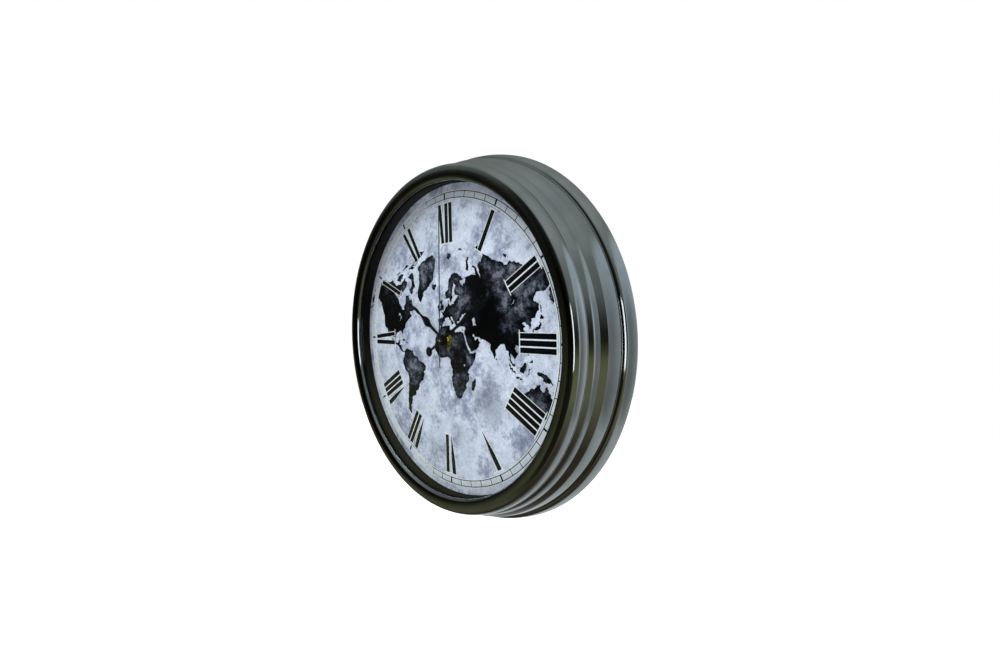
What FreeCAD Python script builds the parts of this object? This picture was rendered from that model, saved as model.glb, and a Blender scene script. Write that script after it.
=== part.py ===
"""World time clock: a round wall clock with a deep stepped case, a sunk dial and a quartz movement.

The clock is in millimetres. Its axis is Y, the dial faces -Y, the wall is the plane Y = 0 and Z is up.
Seen from the front, +X is to the right. Each piece is a solid of its own, written to parts/NAME.step.
"""
import FreeCAD, Part
import math
import os
from FreeCAD import Vector

# Case: seven rings that step inwards from the flange at the wall to the crest round the glass
CASE_RADIUS = 200.0
PAD_THICKNESS = 2.5
REAR_ROUND_DEPTH = 2.0
REAR_ROUND_STEP = 2.0
FLANGE_DEPTH = 12.2
FLANGE_TAPER = 2.4
FLANGE_SWELL = 0.6
SHOULDER_ROUND = 1.4
SHOULDER_STEP = 4.2
BAND_DEPTH = 17.3
BAND_TAPER = 4.4
BAND_SWELL = 2.1
COVE_DEPTH = 4.7
COVE_TAPER = 3.3
COVE_SINK = 1.0
REAR_RIB_DEPTH = 9.8
REAR_RIB_TAPER = 4.4
REAR_RIB_SWELL = 1.7
FRONT_RIB_DEPTH = 8.3
FRONT_RIB_TAPER = 4.3
FRONT_RIB_SWELL = 1.5
BEZEL_SIDE_DEPTH = 5.6
BEZEL_SIDE_TAPER = 1.6
CREST_RISE = 2.4
CREST_RUN = 2.6
CREST_SWELL = 0.8
BEZEL_FACE_WIDTH = 9.3
BEZEL_FACE_DISH = 2.3
LIP_THICKNESS = 2.5
CASE_WALL = 2.5
SOCKET_WALL = 2.2
BOW_FLATS = 3

# Glass, dial and the ring between them, stacked from the lip backwards in the case's socket
GASKET_THICKNESS = 0.8
GLASS_THICKNESS = 3.0
DIAL_RECESS = 13.2
DIAL_SHEET_THICKNESS = 0.4
DIAL_BOARD_THICKNESS = 3.0
SOCKET_CLEARANCE = 0.3
GLASS_OVERLAP = 4.5
RING_WALL = 3.4
RING_DRAFT = 0.6

# Back cover with the well that leads to the movement
COVER_THICKNESS = 2.5
COVER_CLEARANCE = 0.4
WELL_ROOM = 8.0
WELL_WALL = 2.0
WELL_CORNER = 8.0
POST_COUNT = 6
POST_RADIUS = 3.5
POST_INSET = 8.0
SCREW_COUNT = 6
SCREW_BOSS_RADIUS = 3.8
SCREW_BOSS_INSET = 4.6
SCREW_BOSS_ROOT = 1.0
SCREW_RADIUS = 1.45
SCREW_LENGTH = 8.0
SCREW_HEAD_RADIUS = 3.2
SCREW_HEAD_HEIGHT = 1.6
SCREW_HOLE_CLEARANCE = 0.25
PILOT_CLEARANCE = 0.02
PILOT_RUNOUT = 1.0
PAD_COUNT = 4
PAD_RADIUS = 6.0
PAD_INSET = 46.0

# Keyhole hanger on the cover, above the well
HANGER_INSET = 50.0
HANGER_WIDTH = 44.0
HANGER_TALL = 34.0
HANGER_THICKNESS = 1.2
HANGER_CORNER = 4.0
HANGER_SCREW_SPACING = 32.0
KEYHOLE_RADIUS = 4.5
KEYHOLE_SLOT_WIDTH = 4.6
KEYHOLE_SLOT_LENGTH = 9.0
KEYHOLE_DROP = 4.0
NAIL_ROOM_WIDTH = 18.0
NAIL_ROOM_TALL = 26.0
HANGER_BOSS_RADIUS = 3.2
HANGER_BOSS_LENGTH = 6.0
HANGER_SCREW_HEAD_HEIGHT = 1.0
HANGER_SCREW_LENGTH = 6.0

# Movement housing
TRAIN_DROP = 16.7
MOVEMENT_DEPTH = 16.5
MOVEMENT_CORNER = 3.0
AXIS_DROP = 21.5
HOUSING_WALL = 1.5
HOUSING_SPLIT = 7.0
RUBBER_WASHER_THICKNESS = 1.0
RUBBER_WASHER_RADIUS = 9.0
PLATE_THICKNESS = 1.0
PLATE_CLEARANCE = 0.2
PLATE_POST_RADIUS = 2.0
PLATE_POST_INSET = 3.4
LAYER_GAP = 0.6
WHEEL_THICKNESS = 0.9
PINION_OVERRUN = 0.1

# Bush, nut and washer at the dial's centre
BUSH_RADIUS = 4.0
BUSH_FLANGE_RADIUS = 5.6
BUSH_FLANGE_THICKNESS = 0.4
BUSH_PROUD = 1.0
DIAL_HOLE_CLEARANCE = 0.3
WASHER_RADIUS = 8.0
WASHER_THICKNESS = 0.8
WASHER_CLEARANCE = 0.15
NUT_FLATS = 11.0
NUT_THICKNESS = 2.4

# Arbors and pipes, one inside the other
RUNNING_FIT = 0.04
SEAT_FIT = 0.02
SECONDS_ARBOR_RADIUS = 0.6
MINUTE_PIPE_WALL = 0.85
HOUR_PIPE_WALL = 0.8
ARBOR_RADIUS = 0.5
PIVOT_RADIUS = 0.35
PIVOT_LENGTH = 0.8
HOUR_PIPE_REACH = 2.6
MINUTE_PIPE_REACH = 2.6
SECONDS_ARBOR_REACH = 2.6

# Gear teeth: involutes, with the pinions' teeth shifted outwards and the wheels' inwards
PRESSURE_ANGLE = math.radians(20.0)
TOOTH_SHIFT_SHARE = 0.4
PINION_ADDENDUM_SHARE = 1.1
WHEEL_ADDENDUM_SHARE = 0.6
TOOTH_ROOT_SHARE = 0.25
BACKLASH = 0.07

# Tooth counts of the going train and of the motion work
ROTOR_PINION_TEETH = 6
FIFTH_WHEEL_TEETH = 30
FIFTH_PINION_TEETH = 6
SECONDS_WHEEL_TEETH = 36
SECONDS_PINION_TEETH = 6
THIRD_WHEEL_TEETH = 45
THIRD_PINION_TEETH = 6
CENTRE_WHEEL_TEETH = 48
CANNON_PINION_TEETH = 8
MOTION_WHEEL_TEETH = 24
MOTION_PINION_TEETH = 8
HOUR_WHEEL_TEETH = 32
SETTING_GEAR_TEETH = 8

# Distances between arbors, and the bearing of each arbor seen from the one that it meshes with
THIRD_DISTANCE = 9.7
FIFTH_DISTANCE = 9.77
ROTOR_DISTANCE = 8.1
MOTION_DISTANCE = 8.0
THIRD_BEARING = math.radians(150.0)
FIFTH_BEARING = math.radians(30.0)
ROTOR_BEARING = math.radians(-15.0)
MOTION_BEARING = math.radians(-60.0)
SETTING_BEARING = math.radians(-20.0)

# Setting knob
KNOB_RADIUS = 5.0
KNOB_HEIGHT = 3.2
KNOB_STEM_RADIUS = 1.4
KNOB_GAP = 0.4
KNOB_CHAMFER = 0.6
KNOB_GROOVE_COUNT = 12
KNOB_GROOVE_RADIUS = 0.45

# Stepping motor: rotor magnet, stator plate, core, bobbin and winding
MAGNET_RADIUS = 3.0
MAGNET_LENGTH = 2.4
STATOR_AIR_GAP = 0.6
STATOR_THICKNESS = 0.8
STATOR_LAYER_GAP = 0.2
STATOR_BLOCK_WIDTH = 9.8
STATOR_BLOCK_TALL = 10.4
STATOR_ARM = 3.4
STATOR_STRIP = 2.6
CORE_WIDTH = 2.0
COIL_LENGTH = 22.0
COIL_RADIUS = 2.6
COIL_SETBACK = 1.0
BOBBIN_WALL = 0.45
BOBBIN_FLANGE = 0.6
BOBBIN_CLEARANCE = 0.05
WINDING_INSET = 0.2
MOTOR_EDGE_GAP = 0.4
STATOR_POST_RADIUS = 1.0

# Electronics
BOARD_WIDTH = 14.0
BOARD_TALL = 20.0
BOARD_THICKNESS = 0.8
BOARD_POST_RADIUS = 1.2
BOARD_POST_INSET = 2.2
BOARD_SETBACK = 0.4
CHIP_WIDTH = 5.0
CHIP_HEIGHT = 0.9
CHIP_ROUND = 0.8
CRYSTAL_RADIUS = 1.0
CRYSTAL_LENGTH = 6.0
CRYSTAL_SHOULDER = 0.4

# Battery, one AA cell lying across the foot of the housing, and its contacts
CELL_RADIUS = 7.1
CELL_LENGTH = 49.2
CELL_END_ROOM = 3.4
CELL_NUB_RADIUS = 2.6
CELL_NUB_LENGTH = 1.2
CELL_SHOULDER = 0.6
CELL_GAP = 0.3
CONTACT_THICKNESS = 0.35
CONTACT_WIDTH = 9.0
CONTACT_TALL = 9.0

# Hands, cut from thin sheet. Each row of shares is one arc of an edge: a point on it and its end,
# both as shares of the hand's length and of its half width at the swell
HAND_THICKNESS = 0.5
HAND_END_GAP = 0.2
HOUR_HUB_RADIUS = 6.2
HOUR_TIP_ROOM = 91.5
HOUR_HALF_WIDTH = 4.9
HOUR_ROOT_SHARE = 0.42
HOUR_EDGE_SHARES = (
    ((0.17, 0.34), (0.35, 0.38)),
    ((0.39, 0.50), (0.43, 0.86)),
    ((0.485, 1.00), (0.55, 0.80)),
    ((0.62, 0.39), (0.69, 0.25)),
    ((0.80, 0.41), (0.89, 0.23)),
    ((0.95, 0.12), (1.00, 0.07)),
)
MINUTE_HUB_RADIUS = 5.4
MINUTE_TIP_ROOM = 65.5
MINUTE_HALF_WIDTH = 5.0
MINUTE_ROOT_SHARE = 0.38
MINUTE_EDGE_SHARES = (
    ((0.14, 0.30), (0.29, 0.32)),
    ((0.37, 0.42), (0.44, 0.68)),
    ((0.56, 1.00), (0.67, 0.82)),
    ((0.75, 0.50), (0.82, 0.30)),
    ((0.92, 0.16), (1.00, 0.07)),
)
MINUTE_TAIL_LENGTH = 26.0
MINUTE_TAIL_RADIUS = 5.3
MINUTE_TAIL_NECK = 1.1
MINUTE_TAIL_ROOT = 2.0
SECOND_TIP_ROOM = 25.5
SECOND_TAIL_LENGTH = 29.0
SECOND_HALF_WIDTH = 0.6
SECOND_HUB_RADIUS = 3.0
SECOND_ORNAMENT_AT = 33.0
SECOND_ORNAMENT_HALF_WIDTH = 2.0
SECOND_ORNAMENT_HALF_LENGTH = 3.6
SECOND_ORNAMENT_OPEN_SHARE = 0.6
COLLET_WALL = 1.1
COLLET_LENGTH = 1.6
SECOND_SOCKET_WALL = 0.7

# Time shown, as turns of each hand clockwise from twelve
HOUR_TURN = math.radians(305.0)
MINUTE_TURN = math.radians(60.0)
SECOND_TURN = math.radians(1.85)

# One overrun for every cut that goes right through
CUT = 0.5

# Depths along Y, from the wall forwards
RIM_Y = -PAD_THICKNESS
WIDEST_Y = RIM_Y - REAR_ROUND_DEPTH
SHOULDER_Y = WIDEST_Y - FLANGE_DEPTH
BAND_Y = SHOULDER_Y - BAND_DEPTH
COVE_Y = BAND_Y - COVE_DEPTH
REAR_RIB_Y = COVE_Y - REAR_RIB_DEPTH
FRONT_RIB_Y = REAR_RIB_Y - FRONT_RIB_DEPTH
BEZEL_SIDE_Y = FRONT_RIB_Y - BEZEL_SIDE_DEPTH
CREST_Y = BEZEL_SIDE_Y - CREST_RISE
LIP_FRONT_Y = CREST_Y + BEZEL_FACE_DISH
LIP_REAR_Y = LIP_FRONT_Y + LIP_THICKNESS
GLASS_FRONT_Y = LIP_REAR_Y + GASKET_THICKNESS
GLASS_REAR_Y = GLASS_FRONT_Y + GLASS_THICKNESS
DIAL_Y = GLASS_REAR_Y + DIAL_RECESS
BOARD_FRONT_Y = DIAL_Y + DIAL_SHEET_THICKNESS
BOARD_REAR_Y = BOARD_FRONT_Y + DIAL_BOARD_THICKNESS
MOVEMENT_Y = BOARD_REAR_Y + RUBBER_WASHER_THICKNESS
COVER_FRONT_Y = RIM_Y - COVER_THICKNESS

# Radii of the case's rings, from the flange inwards
SHOULDER_RADIUS = CASE_RADIUS - FLANGE_TAPER
BAND_RADIUS = SHOULDER_RADIUS - SHOULDER_STEP
COVE_RADIUS = BAND_RADIUS - BAND_TAPER
REAR_RIB_RADIUS = COVE_RADIUS - COVE_TAPER
FRONT_RIB_RADIUS = REAR_RIB_RADIUS - REAR_RIB_TAPER
BEZEL_RADIUS = FRONT_RIB_RADIUS - FRONT_RIB_TAPER
BEZEL_TOP_RADIUS = BEZEL_RADIUS - BEZEL_SIDE_TAPER
CREST_RADIUS = BEZEL_TOP_RADIUS - CREST_RUN
LIP_RADIUS = CREST_RADIUS - BEZEL_FACE_WIDTH
GLASS_RADIUS = LIP_RADIUS + GLASS_OVERLAP
SOCKET_RADIUS = GLASS_RADIUS + SOCKET_CLEARANCE
RIM_INNER_RADIUS = SHOULDER_RADIUS - CASE_WALL / 4
COVER_RADIUS = RIM_INNER_RADIUS - COVER_CLEARANCE
SCREW_CIRCLE = RIM_INNER_RADIUS - SCREW_BOSS_INSET
POST_CIRCLE = GLASS_RADIUS - POST_INSET

# Height of the hanger, and how far each hand reaches towards the lip
HANGER_HEIGHT = CASE_RADIUS - HANGER_INSET
HOUR_LENGTH = LIP_RADIUS - HOUR_TIP_ROOM
MINUTE_LENGTH = LIP_RADIUS - MINUTE_TIP_ROOM
SECOND_LENGTH = LIP_RADIUS - SECOND_TIP_ROOM

# Radii of the nested pipes
MINUTE_PIPE_BORE = SECONDS_ARBOR_RADIUS + RUNNING_FIT
MINUTE_PIPE_RADIUS = MINUTE_PIPE_BORE + MINUTE_PIPE_WALL
HOUR_PIPE_BORE = MINUTE_PIPE_RADIUS + RUNNING_FIT
HOUR_PIPE_RADIUS = HOUR_PIPE_BORE + HOUR_PIPE_WALL
BUSH_BORE = HOUR_PIPE_RADIUS + RUNNING_FIT
BUSH_HOLE = BUSH_RADIUS + SEAT_FIT

# Layers of the movement along Y, from its dial side backwards
HOUR_LAYER_Y = MOVEMENT_Y + HOUSING_WALL + LAYER_GAP
MOTION_LAYER_Y = HOUR_LAYER_Y + WHEEL_THICKNESS + LAYER_GAP
PLATE_Y = MOTION_LAYER_Y + WHEEL_THICKNESS + LAYER_GAP
PLATE_REAR_Y = PLATE_Y + PLATE_THICKNESS
CENTRE_LAYER_Y = PLATE_REAR_Y + LAYER_GAP
THIRD_LAYER_Y = CENTRE_LAYER_Y + WHEEL_THICKNESS + LAYER_GAP
SECONDS_LAYER_Y = THIRD_LAYER_Y + WHEEL_THICKNESS + LAYER_GAP
FIFTH_LAYER_Y = SECONDS_LAYER_Y + WHEEL_THICKNESS + LAYER_GAP
STATOR_Y = THIRD_LAYER_Y + WHEEL_THICKNESS + STATOR_LAYER_GAP
CORE_Y = STATOR_Y - STATOR_THICKNESS
COIL_Y = CORE_Y + STATOR_THICKNESS / 2
MOVEMENT_REAR_Y = MOVEMENT_Y + MOVEMENT_DEPTH
REAR_WALL_Y = MOVEMENT_REAR_Y - HOUSING_WALL
SPLIT_Y = MOVEMENT_Y + HOUSING_SPLIT

# Front end of the bush, and the planes of the hands in front of it
WASHER_Y = DIAL_Y - WASHER_THICKNESS
NUT_Y = WASHER_Y - NUT_THICKNESS
BUSH_END_Y = NUT_Y - BUSH_PROUD
HOUR_PIPE_END_Y = BUSH_END_Y - HOUR_PIPE_REACH
MINUTE_PIPE_END_Y = HOUR_PIPE_END_Y - MINUTE_PIPE_REACH
SECONDS_END_Y = MINUTE_PIPE_END_Y - SECONDS_ARBOR_REACH
HOUR_HAND_Y = HOUR_PIPE_END_Y + HAND_END_GAP
MINUTE_HAND_Y = MINUTE_PIPE_END_Y + HAND_END_GAP
SECOND_HAND_Y = SECONDS_END_Y + HAND_END_GAP

# Limits of the housing in X and Z, with the hands' axis at zero
CELL_BAY_TALL = 2 * (CELL_RADIUS + CELL_GAP)
MOVEMENT_TALL = AXIS_DROP + TRAIN_DROP + CELL_BAY_TALL + 2 * HOUSING_WALL
HOUSING_TOP = AXIS_DROP
HOUSING_FOOT = AXIS_DROP - MOVEMENT_TALL
HOUSING_SIDE = CELL_LENGTH / 2 + CELL_END_ROOM
INNER_SIDE = HOUSING_SIDE - HOUSING_WALL
INNER_TOP = HOUSING_TOP - HOUSING_WALL
INNER_FOOT = HOUSING_FOOT + HOUSING_WALL
CELL_Z = INNER_FOOT + CELL_GAP + CELL_RADIUS
CELL_Y = MOVEMENT_Y + HOUSING_WALL + CELL_GAP + CELL_RADIUS
BAY_TOP = CELL_Z + CELL_RADIUS + CELL_GAP
CHAMBER_FOOT = BAY_TOP + HOUSING_WALL


def spot(distance, bearing, origin=(0.0, 0.0)):
    """X and Z of an arbor at a distance and bearing from another."""
    return (origin[0] + distance * math.cos(bearing), origin[1] + distance * math.sin(bearing))


def module_of(distance, teeth, other_teeth):
    """Module of a pair of gears from the distance between their arbors."""
    return 2 * distance / (teeth + other_teeth)


THIRD_MODULE = module_of(THIRD_DISTANCE, SECONDS_PINION_TEETH, THIRD_WHEEL_TEETH)
CENTRE_MODULE = module_of(THIRD_DISTANCE, THIRD_PINION_TEETH, CENTRE_WHEEL_TEETH)
SECONDS_MODULE = module_of(FIFTH_DISTANCE, FIFTH_PINION_TEETH, SECONDS_WHEEL_TEETH)
FIFTH_MODULE = module_of(ROTOR_DISTANCE, ROTOR_PINION_TEETH, FIFTH_WHEEL_TEETH)
MOTION_MODULE = module_of(MOTION_DISTANCE, CANNON_PINION_TEETH, MOTION_WHEEL_TEETH)
HOUR_MODULE = module_of(MOTION_DISTANCE, MOTION_PINION_TEETH, HOUR_WHEEL_TEETH)

AXIS = (0.0, 0.0)
THIRD_SPOT = spot(THIRD_DISTANCE, THIRD_BEARING)
FIFTH_SPOT = spot(FIFTH_DISTANCE, FIFTH_BEARING)
ROTOR_SPOT = spot(ROTOR_DISTANCE, ROTOR_BEARING, FIFTH_SPOT)
MOTION_SPOT = spot(MOTION_DISTANCE, MOTION_BEARING)
SETTING_SPOT = spot(
    MOTION_MODULE * (MOTION_WHEEL_TEETH + SETTING_GEAR_TEETH) / 2,
    SETTING_BEARING,
    MOTION_SPOT,
)


class Outline:
    """A closed outline of lines and arcs in a plane, drawn point by point."""

    def __init__(self, start, place):
        self.place = place
        self.start = start
        self.here = start
        self.edges = []

    def line(self, *ends):
        """Straight on to each point in turn."""
        for end in ends:
            self.edges.append(Part.makeLine(self.place(*self.here), self.place(*end)))
            self.here = end
        return self

    def arc(self, middle, end):
        """An arc through a middle point."""
        bend = Part.Arc(self.place(*self.here), self.place(*middle), self.place(*end))
        self.edges.append(bend.toShape())
        self.here = end
        return self

    def bow(self, end, swell):
        """Flats along an arc that stands off its chord by swell, to the left of the way it runs."""
        run = (end[0] - self.here[0], end[1] - self.here[1])
        length = math.hypot(*run)
        middle = (
            (self.here[0] + end[0]) / 2 - run[1] / length * swell,
            (self.here[1] + end[1]) / 2 + run[0] / length * swell,
        )
        bend = Part.Arc(self.place(*self.here), self.place(*middle), self.place(*end)).toShape()
        corners = bend.discretize(BOW_FLATS + 1)
        self.edges += [Part.makeLine(first, second) for first, second in zip(corners, corners[1:])]
        self.here = end
        return self

    def face(self):
        """Closes the outline with a line and fills it."""
        if math.dist(self.here, self.start) > 0:
            self.line(self.start)
        return Part.Face(Part.Wire(self.edges))


def half_section(radius, y):
    """A point of a half section beside the clock's axis."""
    return Vector(radius, y, 0)


def front_view(x, z):
    """A point of an outline seen from the front."""
    return Vector(x, 0, z)


def turned(outline):
    """A solid turned from a half section about the clock's axis."""
    return outline.face().revolve(Vector(0, 0, 0), Vector(0, 1, 0), 360)


def cut_out(face, near, far):
    """A solid cut from a front view, between two depths."""
    solid = face.extrude(Vector(0, far - near, 0))
    solid.translate(Vector(0, near, 0))
    return solid


def rod(radius, near, far, at=AXIS):
    """A round rod along Y between two depths."""
    return Part.makeCylinder(radius, far - near, Vector(at[0], near, at[1]), Vector(0, 1, 0))


def tube(bore, radius, near, far, at=AXIS):
    """A tube along Y between two depths."""
    return rod(radius, near, far, at).cut(rod(bore, near - CUT, far + CUT, at))


def slab(left, right, near, far, foot, top):
    """A rectangular block between its six sides."""
    return Part.makeBox(right - left, far - near, top - foot, Vector(left, near, foot))


def round_slab(left, right, near, far, foot, top, corner):
    """A block whose four edges along Y are rounded."""
    block = slab(left, right, near, far, foot, top)
    along = [edge for edge in block.Edges if edge.BoundBox.YLength > (far - near) / 2]
    return block.makeFillet(corner, along)


def spread(count, radius, first=0.0):
    """Places evenly spaced on a circle about the axis, as X and Z."""
    turns = [first + math.tau * step / count for step in range(count)]
    return [(radius * math.sin(turn), radius * math.cos(turn)) for turn in turns]


def rotate(shape, turn, at=AXIS):
    """Turns a shape clockwise, seen from the front, about an arbor."""
    shape.rotate(Vector(at[0], 0, at[1]), Vector(0, 1, 0), math.degrees(turn))
    return shape


def involute(angle):
    """The involute function."""
    return math.tan(angle) - angle


def mesh_phase(phase, teeth, other_teeth, bearing):
    """Phase of a second gear whose gap takes the tooth of a first one on the line between them."""
    step = (bearing - phase) * teeth / other_teeth
    return bearing + math.pi + step + math.pi / other_teeth


def gear_face(teeth, module, phase, pinion):
    """A toothed face about the axis: involute flanks on a root circle, with backlash taken off."""
    shift = TOOTH_SHIFT_SHARE if pinion else -TOOTH_SHIFT_SHARE
    addendum = PINION_ADDENDUM_SHARE if pinion else WHEEL_ADDENDUM_SHARE
    pitch_radius = module * teeth / 2
    base_radius = pitch_radius * math.cos(PRESSURE_ANGLE)
    tip_radius = pitch_radius + module * addendum
    mate_addendum = WHEEL_ADDENDUM_SHARE if pinion else PINION_ADDENDUM_SHARE
    root_radius = pitch_radius - module * (mate_addendum + TOOTH_ROOT_SHARE)
    thickness = module * (math.pi / 2 + 2 * shift * math.tan(PRESSURE_ANGLE)) - BACKLASH

    def half_angle(radius):
        pressure = math.acos(min(1.0, base_radius / radius))
        return thickness / (2 * pitch_radius) + involute(PRESSURE_ANGLE) - involute(pressure)

    def rim(radius, angle):
        return (radius * math.cos(angle), radius * math.sin(angle))

    foot_radius = max(base_radius, root_radius)
    middle_radius = (foot_radius + tip_radius) / 2
    foot, middle, tip = half_angle(foot_radius), half_angle(middle_radius), half_angle(tip_radius)
    outline = Outline(rim(root_radius, phase - foot), front_view)
    for tooth in range(teeth):
        centre = phase + math.tau * tooth / teeth
        if tooth:
            outline.line(rim(root_radius, centre - foot))
        if pinion:
            outline.line(rim(foot_radius, centre - foot))
            outline.arc(rim(middle_radius, centre - middle), rim(tip_radius, centre - tip))
            outline.line(rim(tip_radius, centre + tip))
            outline.arc(rim(middle_radius, centre + middle), rim(foot_radius, centre + foot))
        else:
            outline.line(rim(tip_radius, centre - tip), rim(tip_radius, centre + tip))
        outline.line(rim(root_radius, centre + foot))
    return outline.face()


def gear(teeth, module, phase, near, at=AXIS, pinion=False):
    """A gear in its layer. A pinion is a little longer than the wheel that it drives."""
    overrun = PINION_OVERRUN if pinion else 0.0
    far = near + WHEEL_THICKNESS
    solid = cut_out(gear_face(teeth, module, phase, pinion), near - overrun, far + overrun)
    solid.translate(Vector(at[0], 0, at[1]))
    return solid


def case_shell():
    """Stepped shell: outside rings, lip, and the socket that holds the glass and the dial."""
    shell = Outline((LIP_RADIUS, LIP_FRONT_Y), half_section)
    shell.line((CREST_RADIUS, CREST_Y))
    shell.bow((BEZEL_TOP_RADIUS, BEZEL_SIDE_Y), -CREST_SWELL)
    shell.line((BEZEL_RADIUS, FRONT_RIB_Y))
    shell.bow((FRONT_RIB_RADIUS, REAR_RIB_Y), -FRONT_RIB_SWELL)
    shell.bow((REAR_RIB_RADIUS, COVE_Y), -REAR_RIB_SWELL)
    shell.bow((COVE_RADIUS, BAND_Y), COVE_SINK)
    shell.bow((BAND_RADIUS, SHOULDER_Y), -BAND_SWELL)
    shell.line((SHOULDER_RADIUS - SHOULDER_ROUND, SHOULDER_Y))
    round_rise = SHOULDER_ROUND * (1 - math.sin(math.radians(45.0)))
    shell.bow((SHOULDER_RADIUS, SHOULDER_Y + SHOULDER_ROUND), -round_rise)
    shell.bow((CASE_RADIUS, WIDEST_Y), -FLANGE_SWELL)
    shell.line((CASE_RADIUS - REAR_ROUND_STEP, RIM_Y))
    shell.line((RIM_INNER_RADIUS, RIM_Y), (RIM_INNER_RADIUS, SHOULDER_Y + CASE_WALL))
    shell.line((BAND_RADIUS - CASE_WALL, SHOULDER_Y + CASE_WALL))
    shell.line((COVE_RADIUS - CASE_WALL, BAND_Y))
    shell.line((BEZEL_RADIUS - CASE_WALL, FRONT_RIB_Y - CASE_WALL / 2))
    shell.line((SOCKET_RADIUS + SOCKET_WALL, FRONT_RIB_Y - CASE_WALL / 2))
    shell.line((SOCKET_RADIUS + SOCKET_WALL, BOARD_REAR_Y), (SOCKET_RADIUS, BOARD_REAR_Y))
    shell.line((SOCKET_RADIUS, LIP_REAR_Y), (LIP_RADIUS, LIP_REAR_Y))
    solid = turned(shell)
    boss_end = SHOULDER_Y + CASE_WALL - SCREW_BOSS_ROOT
    pilot_end = RIM_Y - SCREW_LENGTH - PILOT_RUNOUT
    for place in screw_places():
        solid = solid.fuse(rod(SCREW_BOSS_RADIUS, boss_end, COVER_FRONT_Y, place))
    for place in screw_places():
        solid = solid.cut(rod(SCREW_RADIUS + PILOT_CLEARANCE, pilot_end, COVER_FRONT_Y + CUT, place))
    return solid


def screw_places():
    """Places of the screws that hold the back cover."""
    return spread(SCREW_COUNT, SCREW_CIRCLE, math.pi / SCREW_COUNT)


def glass_gasket():
    """Thin ring between the lip and the glass."""
    return tube(LIP_RADIUS, GLASS_RADIUS, LIP_REAR_Y, GLASS_FRONT_Y)


def glass_lens():
    """Flat glass."""
    return rod(GLASS_RADIUS, GLASS_FRONT_Y, GLASS_REAR_Y)


def inner_ring():
    """Spacer ring that shows as the dark wall between the glass and the dial."""
    bore = GLASS_RADIUS - RING_WALL
    ring = Outline((bore - RING_DRAFT, GLASS_REAR_Y), half_section)
    ring.line((GLASS_RADIUS, GLASS_REAR_Y), (GLASS_RADIUS, DIAL_Y), (bore, DIAL_Y))
    return turned(ring)


def dial_sheet():
    """Printed dial, with the hole for the bush."""
    return tube(BUSH_RADIUS + DIAL_HOLE_CLEARANCE, GLASS_RADIUS, DIAL_Y, BOARD_FRONT_Y)


def dial_board():
    """Hardboard that stiffens the dial."""
    return tube(BUSH_RADIUS + DIAL_HOLE_CLEARANCE, GLASS_RADIUS, BOARD_FRONT_Y, BOARD_REAR_Y)


def well_side(room):
    """Limits of the well as left, right, foot and top, at a distance from the housing."""
    return (-HOUSING_SIDE - room, HOUSING_SIDE + room, HOUSING_FOOT - room, HOUSING_TOP + room)


def well_block(room, near, far):
    """A block with the well's outline, between two depths."""
    left, right, foot, top = well_side(room)
    return round_slab(left, right, near, far, foot, top, WELL_CORNER + room - WELL_ROOM)


def hanger_screw_places():
    """Places of the hanger's two screws."""
    half = HANGER_SCREW_SPACING / 2
    return [(-half, HANGER_HEIGHT), (half, HANGER_HEIGHT)]


def back_cover():
    """Cover with the well round the movement, posts that press on the dial board, and screw holes."""
    cover = rod(COVER_RADIUS, COVER_FRONT_Y, RIM_Y)
    cover = cover.fuse(well_block(WELL_ROOM + WELL_WALL, BOARD_REAR_Y, COVER_FRONT_Y))
    posts = [rod(POST_RADIUS, BOARD_REAR_Y, COVER_FRONT_Y, at) for at in spread(POST_COUNT, POST_CIRCLE)]
    bosses = [rod(HANGER_BOSS_RADIUS, COVER_FRONT_Y - HANGER_BOSS_LENGTH, COVER_FRONT_Y, at)
              for at in hanger_screw_places()]
    cover = cover.fuse(posts + bosses)
    cover = cover.cut(well_block(WELL_ROOM, BOARD_REAR_Y - CUT, RIM_Y + CUT))
    half_wide, half_tall = NAIL_ROOM_WIDTH / 2, NAIL_ROOM_TALL / 2
    nail_room = slab(-half_wide, half_wide, COVER_FRONT_Y - CUT, RIM_Y + CUT,
                     HANGER_HEIGHT - half_tall, HANGER_HEIGHT + half_tall)
    holes = [rod(SCREW_RADIUS + SCREW_HOLE_CLEARANCE, COVER_FRONT_Y - CUT, RIM_Y + CUT, at)
             for at in screw_places()]
    pilot_near = RIM_Y - HANGER_SCREW_LENGTH - PILOT_RUNOUT
    pilots = [rod(SCREW_RADIUS + PILOT_CLEARANCE, pilot_near, RIM_Y + CUT, at)
              for at in hanger_screw_places()]
    return cover.cut([nail_room] + holes + pilots)


def pan_screw(at, head_height, seat, length):
    """A screw whose head lies behind the plane of its seat."""
    head = rod(SCREW_HEAD_RADIUS, seat, seat + head_height, at)
    return head.fuse(rod(SCREW_RADIUS, seat - length, seat, at)).removeSplitter()


def cover_screws():
    """Screws through the back cover into the case's bosses."""
    screws = [pan_screw(at, SCREW_HEAD_HEIGHT, RIM_Y, SCREW_LENGTH) for at in screw_places()]
    return Part.makeCompound(screws)


def hanger_plate():
    """Steel keyhole plate on the back cover."""
    half_wide, half_tall = HANGER_WIDTH / 2, HANGER_TALL / 2
    rear = RIM_Y + HANGER_THICKNESS
    plate = round_slab(-half_wide, half_wide, RIM_Y, rear,
                       HANGER_HEIGHT - half_tall, HANGER_HEIGHT + half_tall, HANGER_CORNER)
    eye = keyhole_eye()
    half_slot = KEYHOLE_SLOT_WIDTH / 2
    slot_top = eye[1] + KEYHOLE_SLOT_LENGTH
    slot = slab(-half_slot, half_slot, RIM_Y - CUT, rear + CUT, eye[1], slot_top)
    cuts = [rod(KEYHOLE_RADIUS, RIM_Y - CUT, rear + CUT, eye), slot]
    cuts.append(rod(half_slot, RIM_Y - CUT, rear + CUT, (0.0, slot_top)))
    cuts += [rod(SCREW_RADIUS + SCREW_HOLE_CLEARANCE, RIM_Y - CUT, rear + CUT, at)
             for at in hanger_screw_places()]
    return plate.cut(cuts)


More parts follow.
